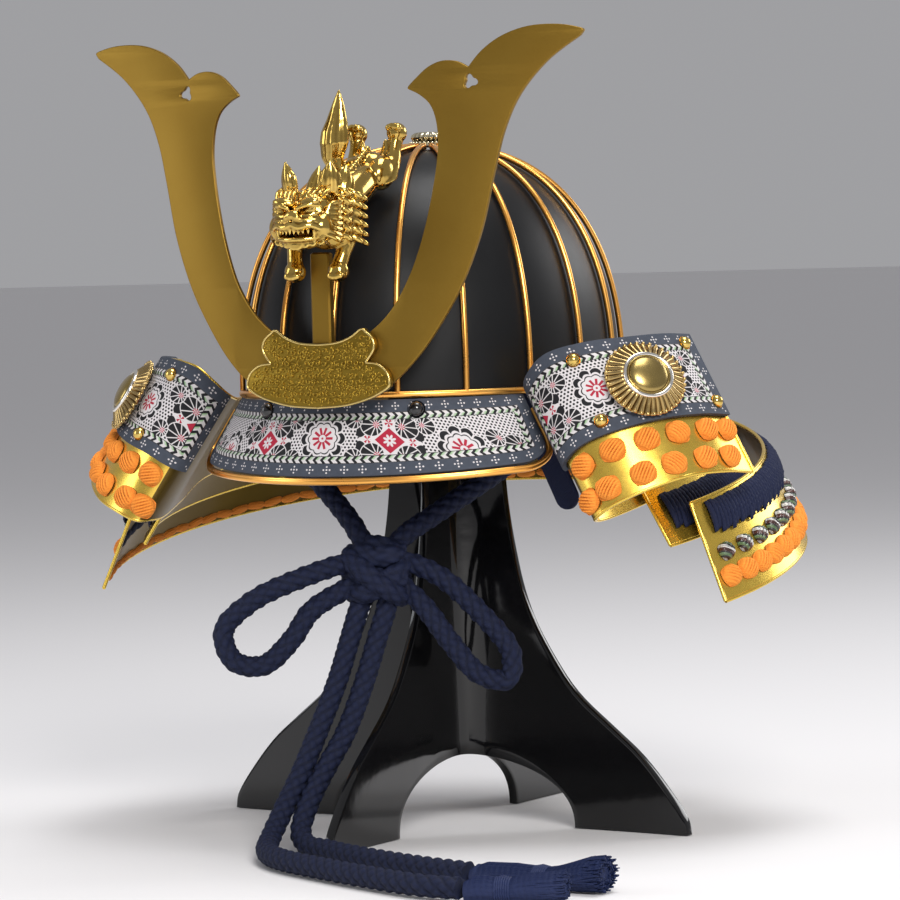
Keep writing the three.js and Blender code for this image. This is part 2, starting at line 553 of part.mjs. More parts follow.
function medallionGeometry() {
  const sides = medallion.petals * 2;
  const sections = [
    { r: 0.02, z: 0, wave: 0 }, { r: 0.96, z: 0, wave: 1 }, { r: 1, z: 1, wave: 1 },
    { r: 0.97, z: medallion.thickness, wave: 1 }, { r: 0.62, z: 5.8, wave: 0 }, { r: 0.55, z: 6.6, wave: 0 },
    { r: 0.36, z: 9.4, wave: 0 }, { r: 0.02, z: 10.8, wave: 0 },
  ];
  const rings = sections.map(({ r, z, wave }) => steps(sides - 1, 0, 1 - 1 / sides).map((share, i) => {
    const angle = share * 2 * Math.PI;
    const reach = r * (1 - wave * (i % 2) * 0.045);
    return vector(medallion.halfWidth * reach * Math.cos(angle), medallion.halfHeight * reach * Math.sin(angle), z);
  }));
  return loftRings(rings);
}
// A row of lacing pads joined by the thread between them, as one body along a surface.
function knotRow(surface, shares, { v, lift, scale = 1 }) {
  const frameAt = (u) => {
    const alongU = surface(Math.min(u + 0.004, 1), v).sub(surface(Math.max(u - 0.004, 0), v));
    const alongV = surface(u, v + 0.01).sub(surface(u, v - 0.01));
    const normal = alongU.clone().cross(alongV).normalize();
    return { normal, side: alongU.normalize(), up: normal.clone().cross(alongU) };
  };
  const section = (u, ahead, width, height) => {
    const { normal, side, up } = frameAt(u);
    const centre = surface(u, v).addScaledVector(side, ahead).addScaledVector(normal, lift);
    return [[-1, 0], [1, 0], [0.62, 1], [-0.62, 1]].map(([across, high]) =>
      centre.clone().addScaledVector(up, (across * width) / 2).addScaledVector(normal, high * height));
  };
  const [length, width, bulge] = [knot.length, knot.height, knot.bulge].map((size) => size * scale);
  const rings = shares.flatMap((u, i) => {
    const pad = [section(u, -length * 0.36, width, bulge), section(u, length * 0.36, width, bulge)];
    return i === shares.length - 1 ? pad : [...pad, section((u + shares[i + 1]) / 2, 0, 3, 1)];
  });
  return loftRings(rings);
}
const knotRows = {
  upper: { v: 0.3, shares: [0.17, 0.36, 0.52, 0.66, 0.81, 0.94] },
  lower: { v: 0.1, shares: [0.09, 0.26, 0.44, 0.58, 0.73, 0.87] },
};
const studs = [
  { name: "outer_upper", u: 0.92, v: 0.925 }, { name: "outer_lower", u: 0.94, v: 0.49 },
  { name: "inner_upper", u: 0.375, v: 0.9 }, { name: "inner_lower", u: 0.37, v: 0.485 },
];
function turnbackPieces(panel) {
  const leather = sheet(panel, {
    us: leatherStations, vs: [0, 0.5, 1], wall: turnback.leatherWall, lift: turnback.leatherLift,
    trim: () => [1 - turnback.leatherShare, 1],
  });
  const seat = panelFrame(panel, medallion.u, medallion.v, leatherTop + 1.2);
  const across = panel(medallion.u + 0.03, medallion.v).sub(panel(medallion.u - 0.03, medallion.v));
  const sideways = across.addScaledVector(seat.normal, -across.dot(seat.normal)).normalize();
  const rosette = medallionGeometry();
  rosette.applyMatrix4(new THREE.Matrix4().makeBasis(sideways, seat.normal.clone().cross(sideways), seat.normal));
  rosette.translate(...seat.point.toArray());
  const pieces = [["turnback_leather", leather, "leather"], ["turnback_medallion", rosette, "castGold"]];
  for (const [name, { v, shares }] of Object.entries(knotRows))
    pieces.push([`turnback_knots_${name}`, knotRow(panel, shares, { v, lift: contactGap }), "orange"]);
  for (const { name, u, v } of studs) {
    const { point, normal } = panelFrame(panel, u, v, leatherTop);
    pieces.push([`turnback_stud_${name}`, placeOn(domeOf(studRadius, 7), point, normal), "castGold"]);
  }
  return pieces;
}
for (const [name, geometry, look] of turnbackPieces(panels.left)) addMesh(`${name}_left`, geometry, look);
for (const [name, geometry, look] of turnbackPieces(panels.right)) addMesh(`${name}_right`, mirrorX(geometry), look);

// Each lower lame: half width and half length of its two edges, and how they tilt down to the front.
const lowerLames = {
  neck_lame_middle: {
    endAngle: 115, top: { a: 159, b: 134, z: 221, tilt: 0.22 }, low: { a: 187, b: 147, z: 181, tilt: 0.22 },
  },
  neck_lame_low: {
    endAngle: 111, top: { a: 191, b: 149, z: 204, tilt: 0.25 }, low: { a: 215, b: 165, z: 151, tilt: 0.25 },
    rightLift: 4.5,
  },
};
function lameSurface({ endAngle, top, low, rightLift = 0 }) {
  return (u, v) => {
    const angle = radians(mix(endAngle, -endAngle, u));
    const [a, b] = [mix(low.a, top.a, v), mix(low.b, top.b, v)];
    const y = b * Math.cos(angle);
    const raised = rightLift * ((1 - Math.sin(angle)) / 2) ** 2;
    return vector(a * Math.sin(angle), y, mix(low.z, top.z, v) + y * mix(low.tilt, top.tilt, v) + raised);
  };
}
const lameStations = [0, 0.013, ...steps(24, 1 / 26, 25 / 26), 0.987, 1];
for (const [name, shape] of Object.entries(lowerLames))
  addMesh(name, sheet(lameSurface(shape), { us: lameStations, vs: [0, 1], wall: lame.wall }), "plateGold");

const middleLame = lameSurface(lowerLames.neck_lame_middle);
const lowLame = lameSurface(lowerLames.neck_lame_low);
const onLame = { wall: lacing.wall, lift: lame.wall + contactGap, us: lameStations.slice(1, -1), vs: [0, 1] };
addMesh("lacing_middle", sheet(middleLame, { ...onLame, trim: () => [0.16, 0.62] }), "navy");
addMesh("lacing_low", sheet(lowLame, { ...onLame, trim: () => [0.64, 0.96] }), "navy");
addMesh("stitch_row", knotRow(lowLame, steps(37, 0.018, 0.934), { v: 0.445, lift: onLame.lift, scale: 0.7 }), "mixed");
addMesh("knot_row_low", knotRow(lowLame, steps(44, 0.014, 0.94), { v: 0.21, lift: onLame.lift, scale: 0.93 }), "orange");

// A flat cloth tab with a rounded end that hangs from inside the rim.
function liningTabGeometry() {
  const half = liningTab.width / 2;
  const outline = new THREE.Shape([new THREE.Vector2(half, 0), new THREE.Vector2(-half, 0)]);
  outline.absarc(0, half - liningTab.length, half, Math.PI, 2 * Math.PI);
  const body = new THREE.ExtrudeGeometry(outline, { depth: liningTab.wall, bevelEnabled: false, curveSegments: 8 });
  return body.rotateX(Math.PI / 2).rotateY(-radians(liningTab.lean));
}
addMesh("lining_tab", liningTabGeometry(), "navy").position.set(liningTab.x, liningTab.y, liningTab.topZ);

// ---- chin cord ----

const routes = {
  cord_strand_left: [[92, -18, 262], [88, -22, 245], [74, -25, 227], [53, -39, 209], [38, -55, 196],
    [24, -71, 184], [14, -81, 175.5], [8, -87, 168]],
  cord_strand_right: [[-92, -18, 262], [-88, -26, 247], [-72, -55, 230], [-51, -78, 213], [-38, -83.5, 202],
    [-27, -87, 192], [-16, -90, 180.5], [-9, -91, 170]],
  cord_loop_left: [[14, -88, 160], [35, -83, 151], [57, -77, 130], [73, -71, 107], [71, -72, 92],
    [57, -79, 95], [41, -84, 114], [28, -88, 133], [14, -88, 145]],
  cord_loop_right: [[-12, -100, 160], [-36, -118, 152], [-61, -133, 139], [-75, -140, 123], [-70, -138, 106],
    [-55, -131, 103], [-41, -122, 117], [-32, -114, 133], [-15, -102, 145]],
  cord_tail_outer: [[-8, -98, 137], [-13, -104, 116], [-18, -111, 93], [-26, -122, 64], [-30.5, -134, 43],
    [-33.5, -149, 25], [-31, -170, 11.5], [-19, -198, 6.6], [5, -226, 6.5], [45, -253, 6.5], [84, -276, 6.5],
    [128, -298, 6.5], [152, -302, 6.5]],
  cord_tail_inner: [[7, -94, 139], [1, -98, 115], [-4, -104, 93], [-12, -114, 64], [-18, -126, 46],
    [-21.5, -140, 29], [-20, -156, 13], [-8, -171, 6.8], [12, -185, 6.5], [43, -206, 6.5], [94, -233, 6.5],
    [131, -248, 6.5]],
};
const toVectors = (points) => points.map((p) => vector(...p));
const cordSteps = { strand: 6, loop: 11, tail: 18 };
for (const [name, points] of Object.entries(routes)) {
  const count = cordSteps[name.split("_")[1]];
  addMesh(name, tube(toVectors(points), cordRadius, cordSides, count), "navy");
}
const knotBody = lump({ x: 0, y: -92, z: 153, rx: 18, ry: 14, rz: 18, around: 12, up: 8 });
const knotCuts = Object.entries(routes).map(([name, points]) =>
  tube(toVectors(points), cordRadius + contactGap, cordSides, cordSteps[name.split("_")[1]]));
addMesh("chin_knot", carve(knotBody, knotCuts), "navy");

// Each tassel lies on the floor: a thread-covered neck, its binding, then the loose skirt.
const tassels = {
  cord_tassel_outer: { x: 154.5, y: -302, heading: 14, neck: 16, skirt: 30, flare: 9.5 },
  cord_tassel_inner: { x: 133.5, y: -249, heading: -5, neck: 38, skirt: 36, flare: 12 },
};
const bindingLength = 9;
function tasselGeometry({ neck, skirt, flare }) {
  const skirtStart = neck + bindingLength;
  const sections = [
    { x: 0, ry: 4.6, rz: 4.6 }, { x: 3, ry: 7, rz: 6.4 }, { x: neck - 3, ry: 7.4, rz: 6.6 },
    { x: neck, ry: 5.8, rz: 5.6 }, { x: neck + 3, ry: 7.4, rz: 6.8 }, { x: neck + 6, ry: 7.4, rz: 6.8 },
    { x: skirtStart, ry: 5.9, rz: 5.6 }, { x: skirtStart + skirt * 0.3, ry: mix(6, flare, 0.55), rz: 7 },
    { x: skirtStart + skirt * 0.75, ry: mix(6, flare, 0.9), rz: mix(6, flare, 0.7) },
    { x: skirtStart + skirt, ry: flare, rz: flare * 0.86 },
  ];
  return loftRings(sections.map(({ x, ry, rz }) => steps(11, 0, 11 / 12).map((share) => {
    const angle = share * 2 * Math.PI;
    return vector(x, ry * Math.cos(angle), rz + 0.4 + rz * Math.sin(angle));
  })));
}
for (const [name, place] of Object.entries(tassels)) {
  const tassel = addMesh(name, tasselGeometry(place), "navy");
  tassel.position.set(place.x, place.y, 0);
  tassel.rotation.z = radians(place.heading);
}

// ---- stand ----

// Plan of one bent board, by its distance along each arm: the front arm is negative.
const boardPlan = [
  { c: -163, x: 0, y: -163 }, { c: -110, x: 2, y: -110 }, { c: -62, x: 4, y: -62 }, { c: -34, x: 5, y: -34 },
  { c: -14, x: 7.5, y: -16.5 }, { c: 14, x: 19, y: -6.5 }, { c: 36, x: 37, y: -5 }, { c: 70, x: 70, y: -9 },
  { c: 115, x: 115, y: -17 }, { c: 163, x: 163, y: -28 },
];
// Half the board's width, by height.
const boardWidth = [
  { z: 0, w: 162 }, { z: 9, w: 160 }, { z: 25, w: 148 }, { z: 44, w: 130 }, { z: 58, w: 112 }, { z: 76, w: 89 },
  { z: 92, w: 75 }, { z: 121, w: 57 }, { z: 151, w: 47 }, { z: 200, w: 39 }, { z: 262, w: 38 },
];
function boardSurface(u, v) {
  const side = u < 0.5 ? -1 : 1;
  const fromFoot = Math.min(u, 1 - u) / 0.4; // 0 at a foot, 1 at a top corner
  const z = fromFoot < 1 ? stand.topZ * fromFoot ** 1.5 : stand.topZ;
  const w = readTable(boardWidth, "z", "w", z);
  const outerC = fromFoot < 1 ? side * w : mix(-w, w, (u - 0.4) / 0.2);
  const archC = -stand.archHalfWidth * Math.cos(Math.PI * u);
  const archZ = stand.archHeight * Math.sin(Math.PI * u) ** 0.85;
  const c = mix(archC, outerC, v);
  return vector(readTable(boardPlan, "c", "x", c), readTable(boardPlan, "c", "y", c), mix(archZ, z, v));
}
const boardGeometry = sheet(boardSurface, {
  us: [...steps(8, 0, 0.4), 0.45, 0.5, 0.55, ...steps(8, 0.6, 1)],
  vs: [0, 0.25, 0.6, 1], wall: stand.wall, lift: -stand.wall / 2,
});
addMesh("stand_board_front", boardGeometry, "lacquer");
addMesh("stand_board_rear", boardGeometry.clone(), "lacquer").rotation.z = Math.PI;

const padTop = crownZ - bowl.wall - 1.5;
const postProfile = [[0, 120], [post.radius - 4, 120], [post.radius - 4, post.padZ - 20], [22, post.padZ - 8],
  [post.padRadius, post.padZ], [post.padRadius, padTop - 8], [28, padTop - 4.4], [15, padTop - 1], [0, padTop]];
addMesh("stand_post", new THREE.LatheGeometry(
  postProfile.map(([r, z]) => new THREE.Vector2(r, z)), 12).rotateX(Math.PI / 2), "lacquer");

whole.position.set(frameShift.x, frameShift.y, 0);
const model = new THREE.Group();
model.add(whole);
export default model;
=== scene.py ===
import math
import random
import bpy
import bmesh
from mathutils import Euler, Matrix, Vector
from mathutils.geometry import intersect_point_line


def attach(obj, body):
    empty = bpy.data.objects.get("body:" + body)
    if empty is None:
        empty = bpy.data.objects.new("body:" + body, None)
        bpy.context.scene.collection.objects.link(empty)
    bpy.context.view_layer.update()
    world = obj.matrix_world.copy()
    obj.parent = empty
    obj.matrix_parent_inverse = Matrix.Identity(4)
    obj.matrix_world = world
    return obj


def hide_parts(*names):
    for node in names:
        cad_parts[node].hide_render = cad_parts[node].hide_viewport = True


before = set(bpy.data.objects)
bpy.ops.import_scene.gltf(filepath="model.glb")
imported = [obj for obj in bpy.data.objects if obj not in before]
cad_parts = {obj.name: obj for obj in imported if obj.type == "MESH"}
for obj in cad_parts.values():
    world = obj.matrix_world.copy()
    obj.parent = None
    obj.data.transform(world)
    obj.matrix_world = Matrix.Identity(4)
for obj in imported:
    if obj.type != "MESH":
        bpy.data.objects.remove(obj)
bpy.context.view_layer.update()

middleY = 11.6  # mm from the drawing's own zero to the shared frame's
print("frame loaded")


# Basic curves, in millimetres

def real(point):
    return Vector((point[0], point[1] + middleY, point[2])) * 0.001


def mix(a, b, t):
    return a + (b - a) * t


def steps(count, start=0.0, end=1.0):
    return [mix(start, end, i / count) for i in range(count + 1)]


def ring(count):
    # angles evenly round a full turn
    return steps(count, 0, math.tau)[:-1]


def hermite(a, b, slopeA, slopeB, t):
    return (a * (2 * t**3 - 3 * t**2 + 1) + slopeA * (t**3 - 2 * t**2 + t)
            + b * (3 * t**2 - 2 * t**3) + slopeB * (t**3 - t**2))


def railPoint(points, t):
    # evenly timed smooth curve, as the neck guard's edges follow
    last = len(points) - 1
    i = min(int(t * last), last - 1)
    before = points[i - 1] if i > 0 else points[0] * 2 - points[1]
    after = points[i + 2] if i + 2 <= last else points[last] * 2 - points[last - 1]
    a, b = points[i], points[i + 1]
    return hermite(a, b, (b - before) * 0.5, (after - a) * 0.5, t * last - i)


def evenly(points, step):
    # the same line with a point every `step` millimetres
    lengths = [0.0]
    for a, b in zip(points, points[1:]):
        lengths.append(lengths[-1] + (b - a).length)
    count = max(2, round(lengths[-1] / step))
    line, k = [], 0
    for wanted in steps(count, 0, lengths[-1]):
        while k < len(points) - 2 and lengths[k + 1] < wanted:
            k += 1
        span = max(lengths[k + 1] - lengths[k], 1e-9)
        line.append(points[k].lerp(points[k + 1], min((wanted - lengths[k]) / span, 1)))
    return line


def smoothLine(points, step):
    # a cord's natural line through its points
    points = [Vector(p) for p in points]
    ends = [points[0] * 2 - points[1], *points, points[-1] * 2 - points[-2]]
    line = []
    for p0, p1, p2, p3 in zip(ends, ends[1:], ends[2:], ends[3:]):
        d0, d1, d2 = [max((b - a).length, 1e-4) ** 0.5 for a, b in ((p0, p1), (p1, p2), (p2, p3))]
        slope1 = ((p1 - p0) / d0 - (p2 - p0) / (d0 + d1) + (p2 - p1) / d1) * d1
        slope2 = ((p2 - p1) / d1 - (p3 - p1) / (d1 + d2) + (p3 - p2) / d2) * d1
        line += [hermite(p1, p2, slope1, slope2, t) for t in steps(12)[:-1]]
    return evenly([*line, points[-1]], step)


def flatSpline(points, count):
    # smooth outline in a plane, through short tables of corners
    points = [Vector((x, z)) for x, z in points]
    last = len(points) - 1
    line = []
    for t in steps(count, 0, last):
        i = min(int(t), last - 1)
        before, after = points[max(i - 1, 0)], points[min(i + 2, last)]
        a, b = points[i], points[i + 1]
        line.append(hermite(a, b, (b - before) * 0.5, (after - a) * 0.5, t - i))
    return line


def readRow(table, at, column):
    # straight lines between a table's rows, found by their first value
    i = max([k for k in range(len(table) - 1) if table[k][0] <= at] or [0])
    span = table[i + 1][0] - table[i][0]
    return mix(table[i][column], table[i + 1][column], min(max((at - table[i][0]) / span, 0), 1))


def lengthOf(line):
    return sum((b - a).length for a, b in zip(line, line[1:]))


# Meshes

class Shape:
    # gathers points in millimetres, and faces with their place on the cloth or print
    def __init__(self):
        self.points, self.faces, self.coords, self.slots = [], [], [], []

    def face(self, corners, coords, slot=0):
        self.faces.append(corners)
        self.coords.append(coords)
        self.slots.append(slot)

    def grid(self, rows, wrap=False, caps=False, coords=lambda i, j: (i, j), slot=0):
        start, count = len(self.points), len(rows[0])
        for row in rows:
            self.points += row
        for i in range(len(rows) - 1):
            for j in range(count if wrap else count - 1):
                corners = ((i, j), (i, j + 1), (i + 1, j + 1), (i + 1, j))
                self.face([start + a * count + b % count for a, b in corners],
                          [coords(a, b) for a, b in corners], slot)
        if caps:
            for i in (0, len(rows) - 1):
                self.face([start + i * count + j for j in range(count)],
                          [coords(i, j) for j in range(count)], slot)
        return start

    def tube(self, path, radius, sides=10, closed=False, slot=0, flat=1.0):
        # radius is a number, or a function of the distance along and the angle
        reach = radius if callable(radius) else lambda along, angle: radius
        count = len(path)
        tangents = [(path[(i + 1) % count if closed else min(i + 1, count - 1)]
                     - path[(i - 1) % count if closed else max(i - 1, 0)]).normalized() for i in range(count)]
        side = tangents[0].orthogonal().normalized()
        rows, along, distances = [], 0.0, []
        for i, (centre, tangent) in enumerate(zip(path, tangents)):
            if i:
                along += (centre - path[i - 1]).length
                side = (side - tangent * side.dot(tangent)).normalized()
            up = tangent.cross(side)
            rows.append([centre + (side * math.cos(a) + up * math.sin(a) * flat) * reach(along, a)
                         for a in ring(sides)])
            distances.append(along)
        if closed:
            rows.append(rows[0])
            distances.append(along + (path[0] - path[-1]).length)
        girth = math.tau * reach(0, 0)
        self.grid(rows, wrap=True, caps=not closed, slot=slot,
                  coords=lambda i, j: (distances[i], j / sides * girth))

    def ball(self, centre, size, turn=(0, 0, 0), around=14, up=8, slot=0):
        size = size if hasattr(size, "__len__") else (size, size, size)
        spin = Euler([math.radians(angle) for angle in turn]).to_matrix()
        rows = []
        for tilt in steps(up, -math.pi / 2 + 0.12, math.pi / 2 - 0.12):
            rows.append([Vector(centre) + spin @ Vector((
                size[0] * math.cos(tilt) * math.cos(a), size[1] * math.cos(tilt) * math.sin(a),
                size[2] * math.sin(tilt))) for a in ring(around)])
        self.grid(rows, wrap=True, caps=True, slot=slot)

    def make(self, name, materials, nodes=(), slot=None, sharp=35, merge=0.002):
        mesh = bpy.data.meshes.new(name)
        mesh.from_pydata([real(p) for p in self.points], [], self.faces)
        mesh.uv_layers.new(name="print").data.foreach_set(
            "uv", [value for face in self.coords for corner in face for value in corner])
        mesh.polygons.foreach_set("material_index", self.slots)
        for material in materials if isinstance(materials, list) else [materials]:
            mesh.materials.append(material)
        return dress(mesh, name, nodes, sharp, merge)


def placed(name, data):
    thing = bpy.data.objects.new(name, data)
    bpy.context.scene.collection.objects.link(thing)
    return thing


def dress(mesh, name, nodes=(), sharp=35, merge=0.002):
    # cleans a mesh, makes it a piece and hides the CAD parts that it replaces
    work = bmesh.new()
    work.from_mesh(mesh)
    bmesh.ops.remove_doubles(work, verts=work.verts, dist=merge * 0.001)
    bmesh.ops.dissolve_degenerate(work, dist=1e-7, edges=work.edges)
    bmesh.ops.recalc_face_normals(work, faces=work.faces)
    work.to_mesh(mesh)
    work.free()
    mesh.polygons.foreach_set("use_smooth", [True] * len(mesh.polygons))
    mesh.set_sharp_from_angle(angle=math.radians(sharp))
    piece = placed(name, mesh)
    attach(piece, "root")
    if nodes:
        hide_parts(*nodes)
    return piece


def reshaped(piece, modifiers):
    # applies modifiers, given as (kind, settings), to a piece's mesh for good
    for kind, settings in modifiers:
        modifier = piece.modifiers.new(kind.lower(), kind)
        for key, value in settings.items():
            setattr(modifier, key, value)
    ready = piece.evaluated_get(bpy.context.evaluated_depsgraph_get())
    mesh = bpy.data.meshes.new_from_object(ready)
    piece.modifiers.clear()
    piece.data = mesh
    mesh.polygons.foreach_set("use_smooth", [True] * len(mesh.polygons))
    return piece


def normalOf(surface, u, v, step=0.004):
    alongU = surface(min(u + step, 1), v) - surface(max(u - step, 0), v)
    alongV = surface(u, min(v + step, 1)) - surface(u, max(v - step, 0))
    normal = alongU.cross(alongV).normalized()
    return normal, alongU.normalized(), normal.cross(alongU).normalized()


def sheet(surface, us, vs, wall, lift=0.0, trim=lambda u: (0, 1), height=None, slots=(0, 0, 0), middle=0.5):
    # an even wall on a surface, with its print measured in millimetres from the middle and the low edge
    shape = Shape()
    spots = [[(u, mix(*trim(u), share)) for share in vs] for u in us]
    frames = [[(surface(u, v), normalOf(surface, u, v)[0]) for u, v in row] for row in spots]
    outer = [[point + normal * (lift + wall) for point, normal in row] for row in frames]
    inner = [[point + normal * lift for point, normal in row] for row in frames]
    line = [surface(u, middle) for u in us]
    along = [0.0]
    for a, b in zip(line, line[1:]):
        along.append(along[-1] + (b - a).length)
    height = height or (surface(us[len(us) // 2], 1) - surface(us[len(us) // 2], 0)).length
    place = lambda i, j: (along[i] - along[-1] / 2, vs[j] * height)
    shape.grid(outer, coords=place, slot=slots[0])
    shape.grid(inner, coords=place, slot=slots[1])
    for wide, narrow, spot in ((outer[0], inner[0], lambda j: (0, j)),
                               (outer[-1], inner[-1], lambda j: (len(us) - 1, j)),
                               ([row[0] for row in outer], [row[0] for row in inner], lambda i: (i, 0)),
                               ([row[-1] for row in outer], [row[-1] for row in inner],
                                lambda i: (i, len(vs) - 1))):
        shape.grid([wide, narrow], coords=lambda a, b, spot=spot: place(*spot(b)), slot=slots[2])
    return shape, along[-1]


# Materials

class Value:
    # one socket, so that shader maths reads as plain expressions
    def __init__(self, shader, socket):
        self.shader, self.socket = shader, socket

    def math(self, operation, *others, clamp=False):
        return self.shader.node("ShaderNodeMath", {"operation": operation, "use_clamp": clamp},
                                dict(enumerate([self, *others])))

    def __add__(self, other):
        return self.math("ADD", other)

    def __sub__(self, other):
        return self.math("SUBTRACT", other)

    def __mul__(self, other):
        return self.math("MULTIPLY", other)

    def __truediv__(self, other):
        return self.math("DIVIDE", other)

    def __rsub__(self, other):
        return self.shader.node("ShaderNodeMath", {"operation": "SUBTRACT"}, {0: other, 1: self})

    def __lt__(self, other):
        return self.math("LESS_THAN", other)

    def __abs__(self):
        return self.math("ABSOLUTE")

    __radd__, __rmul__ = __add__, __mul__

    def min(self, other):
        return self.math("MINIMUM", other)

    def max(self, other):
        return self.math("MAXIMUM", other)

    def clipped(self):
        return self.math("MAXIMUM", 0.0, clamp=True)

    def wave(self, turns, shift=0.0):
        # a sine of this value, from -1 to 1
        return (self * (turns * math.tau) + shift).math("SINE")

    def repeat(self, period):
        # distance from the nearest multiple of the period
        return self - (self / period).math("ROUND") * period

    def under(self, limit, blur=0.15):
        # a mask that is 1 below the limit, with a soft edge
        return ((limit - self) / blur + 0.5).clipped()


class Shader:
    def __init__(self, name, **sockets):
        self.material = bpy.data.materials.new(name)
        self.material.use_nodes = True
        self.tree = self.material.node_tree
        self.surface = self.tree.nodes["Principled BSDF"]
        for key, value in sockets.items():
            self.set(key.replace("_", " ").title().replace("Ior", "IOR"), value)

    def set(self, socket, value):
        self.feed(self.surface.inputs[socket], value)

    def feed(self, socket, value):
        if isinstance(value, Value):
            self.tree.links.new(value.socket, socket)
        elif hasattr(value, "__len__") and len(value) == 3 and socket.type == "RGBA":
            socket.default_value = (*value, 1)
        else:
            socket.default_value = value

    def node(self, kind, settings=None, inputs=None, output=0):
        node = self.tree.nodes.new(kind)
        for key, value in (settings or {}).items():
            if key == "stops":
                for i, (place, colour) in enumerate(value):
                    element = node.color_ramp.elements[i] if i < 2 else node.color_ramp.elements.new(place)
                    element.position, element.color = place, (*colour, 1)
            else:
                setattr(node, key, value)
        for key, value in (inputs or {}).items():
            self.feed(node.inputs[key], value)
        return Value(self, node.outputs[output])

    def point(self, scale=1000):
        # place on the object, in millimetres
        place = self.node("ShaderNodeTexCoord", output="Object")
        return self.node("ShaderNodeVectorMath", {"operation": "SCALE"}, {0: place, "Scale": scale})

    def print(self):
        # place on the cloth, leather or braid, in millimetres
        place = self.node("ShaderNodeUVMap", {"uv_map": "print"})
        split = self.tree.nodes.new("ShaderNodeSeparateXYZ")
        self.feed(split.inputs[0], place)
        return Value(self, split.outputs[0]), Value(self, split.outputs[1])

    def noise(self, scale, detail=3.0, place=None, rough=0.5):
        return self.node("ShaderNodeTexNoise", {}, {
            "Vector": place or self.point(), "Scale": scale, "Detail": detail, "Roughness": rough})

    def cells(self, scale, place=None, feature="F1"):
        return self.node("ShaderNodeTexVoronoi", {"feature": feature}, {
            "Vector": place or self.point(), "Scale": scale})

    def mix(self, mask, a, b):
        return self.node("ShaderNodeMix", {"data_type": "RGBA"}, {0: mask, 6: a, 7: b}, output=2)

    def ramp(self, value, stops):
        return self.node("ShaderNodeValToRGB", {"stops": stops}, {0: value})

    def crease(self, low=0.44, high=0.56):
        # 0 in hollows and 1 on ridges, from the mesh itself
        ridge = self.node("ShaderNodeNewGeometry", output="Pointiness")
        return ((ridge - low) / (high - low)).clipped()

    def bump(self, height, distance, strength=1.0):
        self.set("Normal", self.node("ShaderNodeBump", {}, {
            "Height": height, "Distance": distance * 0.001, "Strength": strength}))


def metal(name, dark, light, roughness, scale=0.05, spread=0.04, bump=0.006, grain=1.2, hollowShade=None):
    shader = Shader(name, metallic=1.0)
    cloud = shader.noise(scale, 4)
    tint = shader.mix(cloud, dark, light)
    # painted shade: a darker colour, if given, is laid in the mesh's hollows
    if hollowShade:
        tint = shader.mix(shader.crease(), hollowShade, tint)
    shader.set("Base Color", tint)
    shader.set("Roughness", shader.noise(scale * 6, 5) * spread * 2 + (roughness - spread))
    shader.bump(shader.noise(grain, 3), bump)
    return shader.material


def silk(name, dark, light, roughness=0.62, thread=1.4, sheen=0.0):
    # silk braid: fine threads run along its print, and the hollows between strands are darkened with painted
    # shade
    shader = Shader(name, sheen_weight=sheen, sheen_roughness=0.4, specular_ior_level=0.3)
    x, y = shader.print()
    threads = (x * 0.6 + y * 0.8).wave(thread)
    fluff = shader.noise(0.9, 4)
    # painted shade from the mesh's hollows, with fluff adding uneven tone and the threads a faint pattern
    hollowShadeAndFluff = shader.crease(0.38, 0.54) * 0.75 + fluff * 0.35 + threads * 0.05
    shader.set("Base Color", shader.mix(hollowShadeAndFluff.clipped(), dark, light))
    shader.set("Roughness", fluff * 0.2 + (roughness - 0.1))
    shader.bump(threads * 0.5 + shader.noise(3.0, 3), 0.12)
    return shader.material


def lacquer(name, colour, roughness, coat=0.0, ripple=0.02, spread=0.06, specular=0.5):
    shader = Shader(name, coat_weight=coat, coat_roughness=0.05, coat_ior=1.5, specular_ior_level=specular)
    dust = shader.noise(0.02, 5)
    lighter = tuple(c * 1.5 + 0.002 for c in colour)
    shader.set("Base Color", shader.mix(dust, colour, lighter))
    shader.set("Roughness", shader.noise(0.2, 5) * spread * 2 + (roughness - spread))
    shader.bump(shader.noise(0.12, 2), ripple)
    return shader.material


